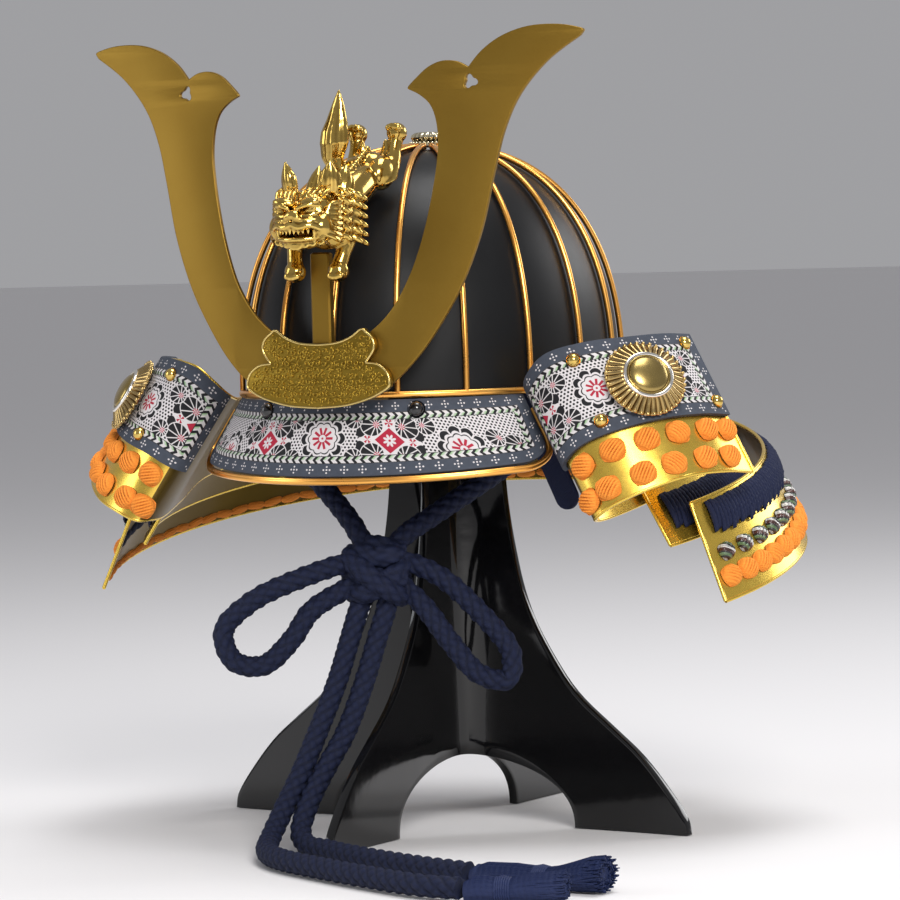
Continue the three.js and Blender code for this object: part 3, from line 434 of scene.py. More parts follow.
def printedLeather(name, halfLength, height, look):
    shader = Shader(name, specular_ior_level=0.25)
    x, y = shader.print()
    white, black, crimson, green = look["white"], look["black"], look["crimson"], look["green"]
    side = y.min(height - y)
    ends = halfLength - abs(x)
    edge = side.min(ends)
    onEnd = ends < side
    onTop = (height - y) < y
    around = mix(x * (1 - onTop * 2), y * x.math("SIGN"), onEnd)

    def distance(dx, dy):
        return (dx * dx + dy * dy).math("SQRT")

    # the cut print: rows of small dots under rosettes, diamonds and striped flowers
    drift = y + x * x * look["drift"]
    pitch = look["dotPitch"]
    rowed = drift / (pitch * 0.866)
    row = rowed.math("ROUND")
    dotX = (x + (row * 0.5).math("FRACT") * pitch).repeat(pitch)
    dotY = (rowed - row) * (pitch * 0.866)
    dots = distance(dotX, dotY).under(look["dotRadius"])
    colour = shader.mix(dots, white, black)

    def polar(dx, dy):
        return distance(dx, dy), dy.math("ARCTAN2", dx)

    def spokes(angle, count, reach):
        # distance from the nearest of some even spokes
        return abs(angle.repeat(1.0)) * reach * (math.tau / count)

    period, centre = look["period"], look["centre"]
    diamondX, diamondY = abs((x - look["start"] - period / 2).repeat(period)), abs(drift - centre)
    clear = (diamondX + diamondY * 1.3).under(18.0)
    colour = shader.mix(clear, colour, white)

    def layer(mask, tint):
        nonlocal colour
        colour = shader.mix(mask, colour, tint)

    leafX, leafY = diamondX - 15.8, diamondY - 4.6  # leaves
    layer((leafX * leafX * 1.4 + leafY * leafY + leafX * leafY * 0.7).math("SQRT").under(3.4), black)
    for placeX, placeY, size in ((9.8, 8.4, 6.3), (20.5, 10.8, 5.0)):  # striped round flowers
        ballX, ballY = diamondX - placeX, diamondY - placeY
        reach, _ = polar(ballX, ballY)
        far, angle = polar(ballX + size * 0.42, ballY - size * 0.05)
        cut = spokes(angle * (11 / math.tau), 11, far)
        layer(reach.under(size + 0.5), white)
        layer(reach.under(size) * (1 - far.under(size * 0.26)) * (1 - cut.under(0.30)), black)
        layer(far.under(size * 0.30) * (angle * (7 / math.tau)).wave(1).under(0.1, 0.5), crimson)
    square = (diamondX / 8.2 + diamondY / 7.4)
    layer(square.under(1.12, 0.03), white)
    layer(square.under(1.0, 0.03), crimson)
    starReach, starAngle = polar(diamondX, diamondY)
    star = (starReach - abs((starAngle * (4 / math.tau)).wave(1)) * 2.2).under(1.5, 0.4)
    layer(star * (1 - starReach.under(0.7)), white)
    for placeX, placeY in ((12.4, 0.0), (0.0, 10.2)):  # little red sprigs
        sprig, turn = polar(diamondX - placeX, diamondY - placeY)
        layer(sprig.under(2.3) * (turn * (5 / math.tau)).wave(1).under(0.1, 0.5), crimson)

    # rosettes: black lobes, scalloped rings and ten crimson petals
    roseReach, roseAngle = polar((x - look["start"]).repeat(period), drift - centre)
    roseReach = roseReach / look["rose"]
    lobes = look["lobes"]
    scallop = abs((roseAngle * (lobes / math.tau)).wave(0.5, math.pi / 2))
    between = spokes(roseAngle * (lobes / math.tau) + 0.5, lobes, roseReach)
    layer((roseReach - scallop * 2.0).under(10.9), white)
    layer((roseReach - scallop * 2.0).under(10.3) * (1 - between.under(0.45)), black)
    layer((roseReach - scallop * 1.5).under(8.3), white)
    layer((roseReach - scallop * 1.1).under(7.4), black)
    layer((roseReach - scallop * 0.9).under(6.9), look["disc"])
    thin = spokes(roseAngle * (10 / math.tau), 10, roseReach)
    layer(thin.under(0.66) * roseReach.under(5.7) * (1 - roseReach.under(1.9)), crimson)
    layer(roseReach.under(0.6), crimson)

    # border with groups of five white dots
    groupX, groupY = around.repeat(look["groupPitch"]), edge - look["border"] * 0.52
    reachX, reachY = abs(groupX), abs(groupY)
    long, short = reachX.max(reachY) - 1.75, reachX.min(reachY)
    five = distance(long, short).min(distance(groupX, groupY)).under(0.5)
    worn = shader.noise(0.35, 5)
    slate = shader.mix(worn, look["slate"], look["slatePale"])
    border = edge.under(look["border"])
    colour = shader.mix(border, colour, shader.mix(five, slate, white))

    # plaited edging between the border and the print
    across = edge - (look["border"] + look["braid"] / 2)
    chevron = ((around - abs(across) * 0.9) / look["chevron"]).math("FRACT")
    strand = chevron.math("GREATER_THAN", 0.42)
    leafy = shader.mix(((chevron - 0.42) / 0.5).clipped(), green, white)
    halves = shader.mix(across.math("GREATER_THAN", 0.0), white, leafy)
    plait = shader.mix(strand * abs(across).under(look["braid"] * 0.42), black, halves)
    onBraid = edge.under(look["border"] + look["braid"]) * (1 - border)
    colour = shader.mix(onBraid, colour, plait)

    shader.set("Base Color", shader.mix(shader.noise(0.08, 4) * 0.14, colour, look["grime"]))
    shader.set("Roughness", 0.62 + worn * 0.2 - onBraid * 0.15)
    ridge = onBraid * (1 - abs(across) * (1.4 / look["braid"])) * (0.5 + abs(chevron - 0.5))
    leather = shader.cells(1.6) * 0.25 + shader.noise(2.5, 3) * 0.25
    shader.bump(leather + ridge * 2.0 - five * border * 0.15, 0.22)
    return shader.material


print("camera, floor and lights")
view = {"azimuth": 26.5, "elevation": 2.43, "roll": -1.53, "distance": 2.7, "lens": 183.6,
        "aim": (0.0026, 0.0109, 0.2191)}
camera = placed("camera", bpy.data.cameras.new("camera"))
turned = (Matrix.Rotation(math.radians(view["azimuth"]), 3, "Z")
          @ Matrix.Rotation(math.radians(90 - view["elevation"]), 3, "X")
          @ Matrix.Rotation(math.radians(view["roll"]), 3, "Z"))
camera.matrix_world = (Matrix.Translation(Vector(view["aim"]) + turned @ Vector((0, 0, view["distance"])))
                       @ turned.to_4x4())
camera.data.lens = view["lens"]
camera.data.sensor_width = 36
camera.data.clip_end = 200
bpy.context.scene.camera = camera
bpy.context.scene.view_settings.view_transform = "Standard"

floorMesh = bpy.data.meshes.new("floor")
floorMesh.from_pydata([(x * 60, y * 60, -0.0005) for x, y in ((-1, -1), (1, -1), (1, 1), (-1, 1))], [],
                      [(0, 1, 2, 3)])
floor = placed("floor", floorMesh)
floorLook = Shader("pale_floor", roughness=0.7)
floorLook.set("Base Color", (0.80, 0.79, 0.80))
floorMesh.materials.append(floorLook.material)

world = bpy.data.worlds.new("studio")
bpy.context.scene.world = world
world.use_nodes = True
world.node_tree.nodes["Background"].inputs["Color"].default_value = (0.83, 0.83, 0.86, 1)
world.node_tree.nodes["Background"].inputs["Strength"].default_value = 0.42

softboxes = [  # place, size and power of each
    {"name": "key", "at": (1.5, -1.9, 1.5), "size": (0.9, 0.9), "power": 54, "colour": (1, 0.98, 0.95)},
    {"name": "fill", "at": (-2.0, -1.4, 0.9), "size": (0.8, 1.4), "power": 12, "colour": (0.93, 0.96, 1)},
    {"name": "top", "at": (0.3, 0.2, 2.3), "size": (1.4, 0.9), "power": 26, "colour": (1, 1, 1)},
    {"name": "back", "at": (1.2, 1.9, 1.1), "size": (1.2, 0.8), "power": 14, "colour": (1, 1, 1)},
]
for box in softboxes:
    light = bpy.data.lights.new(box["name"], "AREA")
    light.shape, (light.size, light.size_y) = "RECTANGLE", box["size"]
    light.energy, light.color = box["power"], box["colour"]
    lamp = placed(box["name"], light)
    lamp.location = box["at"]
    lamp.rotation_euler = (Vector((0, 0, 0.25)) - Vector(box["at"])).to_track_quat("-Z", "Y").to_euler()

print("chin cord")
# its dark colour is laid in the braid's hollows as painted shade
cordLook = silk("navy_cord", (0.0006, 0.0008, 0.0025), (0.0055, 0.010, 0.038), roughness=0.75)
cord = {
    "radius": 6.3, "strands": 5, "pitch": 8.5, "relief": 0.26, "sides": 45, "step": 0.85,
    "routes": {
        "cord_strand_left": [
            (92, -18, 262), (88, -22, 245), (74, -25, 227), (53, -39, 209), (38, -55, 196), (24, -71, 184),
            (14, -81, 175.5), (8, -87, 168), (1, -90, 160)],
        "cord_strand_right": [
            (-92, -18, 262), (-88, -26, 247), (-72, -55, 230), (-51, -78, 213), (-38, -83.5, 202),
            (-27, -87, 192), (-16, -90, 180.5), (-9, -91, 170), (-2, -92, 161)],
        "cord_loop_left": [
            (5, -90, 159), (14, -88, 160), (35, -83, 151), (57, -77, 130), (73, -71, 107), (71, -72, 92),
            (57, -79, 95),
            (41, -84, 114), (28, -88, 133), (14, -88, 145), (6, -89, 149)],
        "cord_loop_right": [
            (-4, -95, 159), (-12, -100, 160), (-36, -118, 152), (-61, -133, 139), (-75, -140, 123),
            (-70, -138, 106),
            (-55, -131, 103), (-41, -122, 117), (-32, -114, 133), (-15, -102, 145), (-7, -97, 149)],
        "cord_tail_outer": [
            (-4, -94, 146), (-8, -98, 137), (-13, -104, 116), (-18, -111, 93), (-26, -122, 64),
            (-30.5, -134, 43),
            (-33.5, -149, 25), (-31, -170, 11.5), (-19, -198, 6.6), (5, -226, 6.5), (45, -253, 6.5),
            (84, -276, 6.5), (128, -298, 6.5), (152, -302, 6.5)],
        "cord_tail_inner": [
            (4, -92, 146), (7, -94, 139), (1, -98, 115), (-4, -104, 93), (-12, -114, 64), (-18, -126, 46),
            (-21.5, -140, 29), (-20, -156, 13), (-8, -171, 6.8), (12, -185, 6.5), (43, -206, 6.5),
            (94, -233, 6.5),
            (131, -248, 6.5)],
    },
}


def plaited(radius, strands, pitch, relief):
    # two sets of strands crossing over and under round a cord
    def reach(along, angle):
        a = strands * angle / math.tau + along / pitch
        b = strands * angle / math.tau - along / pitch
        over = (math.floor(a) + math.floor(b)) % 2
        across, lengthways = (a, b) if over else (b, a)
        rise = abs(math.sin(math.pi * across)) ** 0.6 * (0.55 + 0.45 * abs(math.sin(math.pi * lengthways)))
        return radius * (1 - relief + relief * rise)
    return reach


cordReach = plaited(cord["radius"], cord["strands"], cord["pitch"], cord["relief"])
cordPieces, cordLines = {}, {}
for name, route in cord["routes"].items():
    line = smoothLine(route, cord["step"])
    shape = Shape()
    shape.tube(line, cordReach, cord["sides"])
    cordPieces[name] = shape.make(f"{name}_braid", cordLook, [name], "navy_cord", sharp=80)
    cordLines[name] = line

print("knot and tassels")
knotBands = [  # short turns of the same cord, over and round each other
    [(-15, -92, 164), (-12, -102, 162), (-2, -107, 156), (8, -105, 148), (14, -97, 142), (13, -88, 140)],
    [(14, -90, 165), (10, -99, 164), (3, -101, 163), (-6, -99, 165), (-14, -92, 163), (-15, -83, 158)],
    [(-15, -90, 141), (-11, -99, 143), (-3, -103, 143), (5, -102, 146), (14, -95, 155), (15, -85, 160)],
    [(-12, -86, 146), (-6, -82, 158), (6, -81, 160), (12, -85, 148)],
    [(-17, -94, 152), (-10, -100, 154), (0, -103, 152), (10, -100, 150), (16, -92, 150)],
    [(-9, -86, 168), (-2, -93, 169), (6, -93, 168), (12, -86, 166)],
]
shape = Shape()
for band in knotBands:
    shape.tube(smoothLine(band, 0.9), plaited(6.7, 5, 8.5, 0.26), 40)
shape.ball((0, -91, 154), (15, 11, 15), around=28, up=16)
chinKnot = shape.make("chin_knot_braid", cordLook, ["chin_knot"], "navy_cord", sharp=80)

# its dark colour is laid in the hollows between threads as painted shade
tasselLook = silk("tassel_thread", (0.0015, 0.002, 0.007), (0.012, 0.022, 0.08), roughness=0.6, thread=0.5)
tassel = {
    "threads": 300, "thread": 0.5, "binding": 9.0, "seed": 7,
    "cord_tassel_outer": {"x": 154.5, "y": -302, "heading": 14, "neck": 16, "skirt": 30, "flare": 9.5},
    "cord_tassel_inner": {"x": 133.5, "y": -249, "heading": -5, "neck": 38, "skirt": 36, "flare": 12},
}
tasselPieces = {}
for name in ("cord_tassel_outer", "cord_tassel_inner"):
    place, draw, shape = tassel[name], random.Random(tassel["seed"]), Shape()
    turn = Matrix.Rotation(math.radians(place["heading"]), 3, "Z")
    put = lambda p, turn=turn, place=place: turn @ Vector(p) + Vector((place["x"], place["y"], 0))
    neck, skirt, flare = place["neck"], place["skirt"], place["flare"]
    full = neck + tassel["binding"] + skirt
    tied = neck + tassel["binding"]
    girths = [(0, 4.6, 4.6), (3, 6.8, 6.1), (neck - 4, 7.0, 6.3), (neck, 5.6, 5.4), (neck + 4.5, 6.0, 5.8),
              (tied, 5.6, 5.4), (tied + skirt * 0.3, flare * 0.8, 6.9),
              (tied + skirt * 0.75, flare * 0.95, flare * 0.78), (full, flare, flare * 0.84)]

    def inTassel(x, reach, angle):
        wide, high = readRow(girths, x, 1), readRow(girths, x, 2)
        return put((x, wide * reach * math.cos(angle), high + 0.5 + high * reach * math.sin(angle)))

    core = [[inTassel(x, 0.86, a) for a in ring(20)] for x in steps(24, 0, full - 3)]
    shape.grid(core, wrap=True, caps=True)
    for k in range(7):  # wraps of thread that bind it
        x = neck + 0.9 + k * 1.2
        shape.tube([inTassel(x, 1.12, a) for a in ring(24)], 0.75, 7, closed=True)
    for k in range(tassel["threads"]):
        angle, reach = draw.uniform(0, math.tau), draw.uniform(0.9, 1.0)
        stop, stray = full * draw.uniform(0.95, 1.0), draw.uniform(-0.16, 0.16)
        points = []
        for i, x in enumerate(steps(9, 0, stop)):
            loose = max(0.0, (x - neck - tassel["binding"]) / skirt)
            spread = reach if loose < 0.9 else reach * draw.uniform(0.35, 1.0)
            points.append(inTassel(x, spread, angle + stray * (loose * 2.4 + 0.4 * math.sin(0.7 * i + k))))
        shape.tube(points, tassel["thread"] * draw.uniform(0.8, 1.2), 4)
    tasselPieces[name] = shape.make(f"{name}_threads", tasselLook, [name], "navy_cord", sharp=80)

for name, line in cordLines.items():
    kind = name.split("_")[1]
    carried = [tasselPieces[name.replace("tail", "tassel")]] if kind == "tail" else []
    if name == "cord_strand_left":
        carried = [chinKnot]
    real(line[0])
    lengthOf(line) * 0.001
    "loose" if kind == "tail" else "hanging"
    [real(p) for p in line]

print("bowl")
bowl = {"halfWidth": 105, "halfLength": 124, "centreY": -14, "rimZ": 258, "height": 137.5, "fullness": 2.4,
        "wall": 2.5, "ribs": 18, "ribRadius": 1.7, "rimRadius": 2.0, "rimDrop": 1.5}


def bowlPoint(turn, rise, outward=0.0):
    angle = rise * math.pi / 2
    reach = max(math.cos(angle), 0) ** (2 / bowl["fullness"])
    lift = math.sin(angle) ** (2 / bowl["fullness"])
    return Vector(((bowl["halfWidth"] + outward) * reach * math.sin(turn),
                   bowl["centreY"] - (bowl["halfLength"] + outward) * reach * math.cos(turn),
                   bowl["rimZ"] + (bowl["height"] + outward) * lift))


ironBlack = lacquer("satin_black_iron", (0.003, 0.0032, 0.0038), 0.40, ripple=0.05, spread=0.03,
                    specular=0.24)
copperLook = metal("copper_gold_piping", (0.92, 0.40, 0.075), (1.0, 0.55, 0.14), 0.28, scale=0.03,
                   spread=0.02)
rises = steps(40, 0, 0.992)
turns = ring(144)
shape = Shape()
for outward, upTo in ((0.0, 1), (-bowl["wall"], 1)):
    rows = [[bowlPoint(turn, rise, outward) for turn in turns] for rise in rises]
    start = shape.grid(rows, wrap=True)
    crown = len(shape.points)
    shape.points.append(Vector((0, bowl["centreY"], bowl["rimZ"] + bowl["height"] + outward)))
    last = start + (len(rises) - 1) * len(turns)
    for j in range(len(turns)):
        shape.face([last + j, last + (j + 1) % len(turns), crown], [(0, 0), (1, 0), (0, 1)])
shape.grid([[bowlPoint(turn, 0, outward) for turn in turns] for outward in (0.0, -bowl["wall"])], wrap=True)
shape.make("bowl_shell", ironBlack, ["bowl"], "bowl_black", sharp=50)

shape = Shape()
for k in range(bowl["ribs"]):
    turn = math.tau * k / bowl["ribs"]
    line = [bowlPoint(turn, rise, bowl["ribRadius"] + 0.5) for rise in steps(60, 0, 0.955)]
    shape.tube(evenly(line, 3.0), bowl["ribRadius"], 12)
rimLine = [bowlPoint(turn, 0, bowl["ribRadius"] + 0.6) for turn in turns]
shape.tube([Vector((p.x, p.y, bowl["rimZ"] - bowl["rimDrop"])) for p in rimLine], bowl["rimRadius"], 12,
           closed=True)
shape.make("rib_piping_wires", copperLook, ["rib_piping"], "copper_piping")

finial = {"y": -13, "z": 396.7, "flange": 12, "crown": 9.5, "bore": 4, "height": 9, "beads": 20}
# pale gold, with painted shade darkening its hollows
paleGold = metal("pale_gold", (0.60, 0.50, 0.30), (0.95, 0.88, 0.66), 0.16, scale=0.3,
                 hollowShade=(0.03, 0.02, 0.01))
shape = Shape()
centre = Vector((0, finial["y"], finial["z"]))
bore, flange, crown = finial["bore"], finial["flange"], finial["crown"]
profile = [(bore, 0), (flange - 1.4, 0), (flange, 1.0), (flange - 0.6, 2.2), (crown - 0.4, 3.2),
           (crown + 0.2, 4.4), (crown + 1, 5.9), (crown + 0.4, 7.4), (crown - 1.6, 8.6),
           (bore + 2, finial["height"]), (bore + 0.6, 8.4), (bore, 7.4), (bore, 0)]
rows = []
for turn in ring(120):
    pinch = 0.5 + 0.5 * math.cos(finial["beads"] * turn)
    outward = Vector((math.cos(turn), math.sin(turn), 0))
    rows.append([centre + outward * (r - (1.0 * (1 - pinch) if 3 < z < 8 else 0)) + Vector((0, 0, z))
                 for r, z in profile])
shape.grid([*rows, rows[0]])
for turn in ring(28):  # fine beading round the flange
    shape.ball(centre + Vector((math.cos(turn) * 10.9, math.sin(turn) * 10.9, 2.4)), 1.0, around=8, up=5)
shape.make("finial_ring", paleGold, ["finial"], "finial_metal")

print("visor")
visor = {"halfAngle": 57, "topZ": 253, "lowHalfWidth": 133, "lowHalfLength": 138, "lowZ": 211, "endRise": 6,
         "wall": 3, "cornerAngle": 8, "corner": 0.3, "piping": 2.0, "edgeTurn": 1.4, "edgeDrop": 1.055}
leatherPrint = {
    "white": (0.66, 0.63, 0.64), "black": (0.007, 0.007, 0.009), "crimson": (0.40, 0.012, 0.04),
    "green": (0.22, 0.42, 0.18), "disc": (0.66, 0.63, 0.64), "lobes": 10,
    "slate": (0.036, 0.044, 0.062), "slatePale": (0.066, 0.078, 0.105), "grime": (0.06, 0.06, 0.065),
    "dotPitch": 2.15, "dotRadius": 0.64, "border": 7.2, "braid": 4.4, "chevron": 4.5, "groupPitch": 9.8,
    "rose": 1.12, "period": 78.0, "centre": 21.8, "start": -4.4, "drift": 0.0018,
}


def visorPoint(turn, drop, outward=0.0):
    angle = math.radians(turn)
    lowZ = visor["lowZ"] + visor["endRise"] * (turn / visor["halfAngle"]) ** 2
    reachX = mix(bowl["halfWidth"], visor["lowHalfWidth"] - visor["wall"], drop) + outward
    reachY = mix(bowl["halfLength"], visor["lowHalfLength"] - visor["wall"], drop) + outward
    return Vector((reachX * math.sin(angle), bowl["centreY"] - reachY * math.cos(angle),
                   mix(visor["topZ"], lowZ, drop)))


def cornerDrop(turn, spread, depth):
    past = min(max(0, abs(turn) - (visor["halfAngle"] - visor["cornerAngle"])) / spread, 1)
    return depth * (1 - math.sqrt(1 - past * past))


def visorSurface(u, v):
    return visorPoint(mix(-visor["halfAngle"], visor["halfAngle"], u), 1 - v)


visorUs = [0, 0.002, 0.006, 0.012, 0.02, 0.032, 0.045, 0.06, *steps(80, 0.075, 0.925),
           0.94, 0.955, 0.968, 0.98, 0.988, 0.994, 0.998, 1]
visorHeight = (visorSurface(0.5, 1) - visorSurface(0.5, 0)).length
shape, visorLength = sheet(
    visorSurface, visorUs, steps(10), visor["wall"], height=visorHeight,
    trim=lambda u: (cornerDrop(mix(-visor["halfAngle"], visor["halfAngle"], u), visor["cornerAngle"],
                               visor["corner"]), 1))
visorLeather = printedLeather("visor_printed_leather", visorLength / 2, visorHeight, leatherPrint)
shape.make("visor_leather", visorLeather, ["visor"], "printed_leather")

edgeAt = lambda turn: visorPoint(turn, visor["edgeDrop"] - cornerDrop(
    turn, visor["cornerAngle"] + visor["edgeTurn"], visor["corner"] + 0.055), visor["wall"] / 2)
endTurn = visor["halfAngle"] + visor["edgeTurn"]
ends = [[visorPoint(side * endTurn, drop, visor["wall"] / 2) for drop in (0.2, 0.45, 0.66)]
        for side in (-1, 1)]
lowTurns = [*steps(12, -57.6, -46), *steps(24, -40, 40), *steps(12, 46, 57.6)]
shape = Shape()
pipingLine = smoothLine([*ends[0], *[edgeAt(turn) for turn in lowTurns], *reversed(ends[1])], 2.0)
shape.tube(pipingLine, visor["piping"], 14)
bead = {"away": 1.3, "up": 1.3, "radius": 0.75}
shape.tube([p + Vector((p.x, p.y - bowl["centreY"], 0)).normalized() * bead["away"]
            + Vector((0, 0, bead["up"])) for p in pipingLine], bead["radius"], 8)
shape.make("visor_edge_piping", copperLook, ["visor_piping"], "copper_piping")

rivet = {"turn": 25, "drop": 0.12, "radius": 5.0, "standOff": 1.1}
glossBlack = lacquer("gloss_black_rivet", (0.006, 0.006, 0.007), 0.10, coat=0.6, ripple=0.01, spread=0.03)


def turnedOn(shape, centre, normal, profile, sides=28, slot=0):
    # a piece turned round a line that points along `normal`
    side = normal.orthogonal().normalized()
    up = normal.cross(side)
    rows = [[centre + normal * z + (side * math.cos(a) + up * math.sin(a)) * r for a in ring(sides)]
            for r, z in profile]
    shape.grid(rows, wrap=True, caps=True, slot=slot)


def domeProfile(radius, flange=0.0, rise=1.0):
    dome = [(radius * math.cos(t), radius * rise * math.sin(t)) for t in steps(9, 0.0, math.pi / 2 - 0.06)]
    return [(radius + flange, 0), (radius + flange, 0.5), *dome] if flange else [(radius, -0.2), *dome]


for side, label in ((1, "left"), (-1, "right")):
    turn = side * rivet["turn"]
    seat = visorPoint(turn, rivet["drop"], visor["wall"] + rivet["standOff"] - 0.9)
    normal = Vector((math.sin(math.radians(turn)) * 0.9, -math.cos(math.radians(turn)), 0.35)).normalized()
    shape = Shape()
    turnedOn(shape, seat, normal, domeProfile(rivet["radius"] - 0.5, 0.6, 1.05))
    shape.make(f"visor_dome_{label}", glossBlack, [f"visor_rivet_{label}"], "bowl_black")

print("horns")
horn = {"thickness": 3.0, "frontY": -153.5, "footZ": 275, "lean": 0.063, "sweepFrom": 54, "sweep": 0.13,
        "bevel": 0.5, "eye": {"x": 90, "z": 429, "radius": 2.6}}
outerEdge = [(0, 250.5), (22, 253), (42, 262), (59, 277), (74, 297.5), (86.5, 320), (96.8, 348), (103.6, 378),
             (109.8, 402), (119, 421.5), (134.4, 439), (152.8, 451.8)]
outerLobe = [(154.6, 454.2), (153, 456), (140, 458.6), (123, 458.2), (108, 453.6), (96.5, 446), (88.6, 437)]
innerLobe = [(88.6, 437), (82, 440.4), (73.5, 441), (65.5, 438), (58.8, 432.4), (54, 427.6), (53.8, 426)]
innerEdge = [(53.8, 426), (60.5, 422.6), (66.6, 417), (70, 408.5), (71.3, 397), (70.6, 385), (67.4, 365),
             (61.8, 342), (54, 321), (43, 303.5), (30, 292), (15.5, 285.6), (0, 283.4)]


def hornY(x, z):
    return (horn["frontY"] + horn["lean"] * (z - horn["footZ"])
            + horn["sweep"] * max(abs(x) - horn["sweepFrom"], 0))


def bothSides(halves):
    right = []
    for p in [p for half in halves for p in half]:
        if not right or (p - right[-1]).length > 0.05:
            right.append(p)
    return right + [Vector((-p.x, p.y)) for p in reversed(right) if p.x > 0.01]


def flatPlate(name, outline, holes, thickness, ahead, bevel, materials, nodes):
    # a bevelled plate cut to an outline, then stood on the horns' swept face
    curve = bpy.data.curves.new(name, "CURVE")
    curve.dimensions, curve.fill_mode = "2D", "BOTH"
    curve.extrude, curve.bevel_depth = thickness / 2 - bevel, bevel
    curve.bevel_resolution, curve.offset = 2, -bevel
    for line in (outline, *holes):
        spline = curve.splines.new("POLY")
        spline.points.add(len(line) - 1)
        for spot, p in zip(spline.points, line):
            spot.co = (p[0], p[1], 0, 1)
        spline.use_cyclic_u = True
    holder = placed(name, curve)
    mesh = bpy.data.meshes.new_from_object(holder.evaluated_get(bpy.context.evaluated_depsgraph_get()))
    bpy.data.objects.remove(holder)
    work = bmesh.new()
    work.from_mesh(mesh)
    for x in (-horn["sweepFrom"], horn["sweepFrom"]):
        bmesh.ops.bisect_plane(work, geom=[*work.verts, *work.edges, *work.faces], plane_co=(x, 0, 0),
                               plane_no=(1, 0, 0))
    for face in work.faces:
        face.material_index = 0 if abs(face.normal.z) > 0.9 else min(1, len(materials) - 1)
    for vert in work.verts:
        x, z, depth = vert.co
        vert.co = real((x, hornY(x, z) - ahead - depth + thickness / 2, z))
    work.to_mesh(mesh)
    work.free()
    if mesh.uv_layers:
        mesh.uv_layers[0].name = "print"
    mesh.materials.clear()
    for material in materials:
        mesh.materials.append(material)
    return dress(mesh, name, nodes, sharp=30)


eyeHoles = []
for side in (1, -1):
    towardsNotch = math.radians(110 if side > 0 else 70)
    hole = []
    for share in steps(42)[:-1]:
        angle = side * share * math.tau
        reach = horn["eye"]["radius"] + 0.9 * (1 + math.cos(3 * (angle - towardsNotch)))
        hole.append((side * horn["eye"]["x"] + reach * math.cos(angle),
                     horn["eye"]["z"] + reach * math.sin(angle)))
    eyeHoles.append(hole)
satin = Shader("satin_old_gold", metallic=0.92)
cloud, streak = satin.noise(0.03, 5), satin.noise(0.9, 4, rough=0.7)
satin.set("Base Color", satin.mix(cloud * 0.6 + streak * 0.4, (0.215, 0.118, 0.014), (0.290, 0.180, 0.030)))
satin.set("Roughness", streak * 0.16 + 0.36)
satin.bump(satin.noise(2.2, 3), 0.03)
paleEdge = metal("pale_horn_edge", (0.42, 0.30, 0.08), (0.70, 0.56, 0.22), 0.32, scale=0.1)
flatPlate("horn_plate", bothSides([flatSpline(outerEdge, 60), flatSpline(outerLobe, 30),
                                   flatSpline(innerLobe, 24), flatSpline(innerEdge, 60)]),
          eyeHoles, horn["thickness"], 0.0, horn["bevel"], [satin.material, paleEdge],
          ["horns"])

plate = {"thickness": 4.0, "gap": 0.35, "curl": 1.7, "pitch": 3.9, "grains": 900}
plateTop = [(0, 286.2), (12, 287), (21, 290), (27.6, 294.4), (30, 293)]
plateUpper = [(30, 293), (34.6, 289), (35.6, 283), (30.4, 275.4)]
plateLower = [(30.4, 275.4), (38, 274.4), (44, 269.6), (45.6, 263), (43.5, 260.4)]
plateFoot = [(43.5, 260.4), (34, 255.6), (18, 251.3), (0, 249.8)]
plateLine = bothSides([flatSpline(half[::-1], count) for half, count in (
    (plateFoot, 16), (plateLower, 16), (plateUpper, 12), (plateTop, 16))])
# relief gold, with painted shade darkening the hollows between scrolls and grains
reliefGold = metal("relief_gold", (0.26, 0.16, 0.02), (0.44, 0.295, 0.045), 0.36, scale=0.2, bump=0.02,
                   grain=1.1, hollowShade=(0.09, 0.05, 0.006))
# a brighter gold for the plate's rim and sides: a painted highlight
rimHighlightGold = metal("painted_highlight_rim_gold", (0.62, 0.45, 0.14), (0.85, 0.66, 0.26), 0.24, scale=0.2)
plateFront = plate["gap"] + plate["thickness"]
flatPlate("base_plate_body", plateLine, [], plate["thickness"] - 0.6, plateFront - 0.3, 0.4,
          [reliefGold, rimHighlightGold], ["horn_base_plate"])


def insideOf(line, x, z):
    inside = False
    for a, b in zip(line, [*line[1:], line[0]]):
        if (a[1] > z) != (b[1] > z) and x < (b[0] - a[0]) * (z - a[1]) / (b[1] - a[1]) + a[0]:
            inside = not inside
    return inside


def edgeDistance(line, x, z):
    near = 99.0
    for a, b in zip(line, [*line[1:], line[0]]):
        foot, share = intersect_point_line(Vector((x, z)), a, b)
        foot = a if share < 0 else b if share > 1 else foot
        near = min(near, math.hypot(foot[0] - x, foot[1] - z))
    return near


shape = Shape()
onPlate = lambda x, z, ahead=0.0: Vector((x, hornY(x, z) - plateFront + 0.3 - ahead, z))
middle = Vector((0, 268))
rim = [p + (middle - p).normalized() * 0.7 for p in plateLine]
# the thin rim tube takes the brighter gold, a painted highlight
shape.tube(evenly([onPlate(p[0], p[1]) for p in [*rim, rim[0]]], 1.2)[:-1], 0.62, 8, closed=True, slot=1)
draw = random.Random(3)
for row in range(13):
    for column in range(28):
        x = (column - 13.5 + 0.5 * (row % 2)) * plate["pitch"] + draw.uniform(-0.5, 0.5)
        z = 251.5 + row * plate["pitch"] * 0.86 + draw.uniform(-0.5, 0.5)
        if not insideOf(plateLine, x, z) or edgeDistance(plateLine, x, z) < 3.0:
            continue
        way, start, turns = draw.choice((-1, 1)), draw.uniform(0, math.tau), draw.uniform(0.5, 1.1)
        curl = []
        for t in steps(16):
            reach = plate["curl"] * (1 - 0.75 * t)
            angle = start + way * t * turns * math.tau
            curl.append(onPlate(x + reach * math.cos(angle), z + reach * math.sin(angle), 0.15 + 0.25 * t))
        shape.tube(curl, lambda along, a: 0.42, 6)
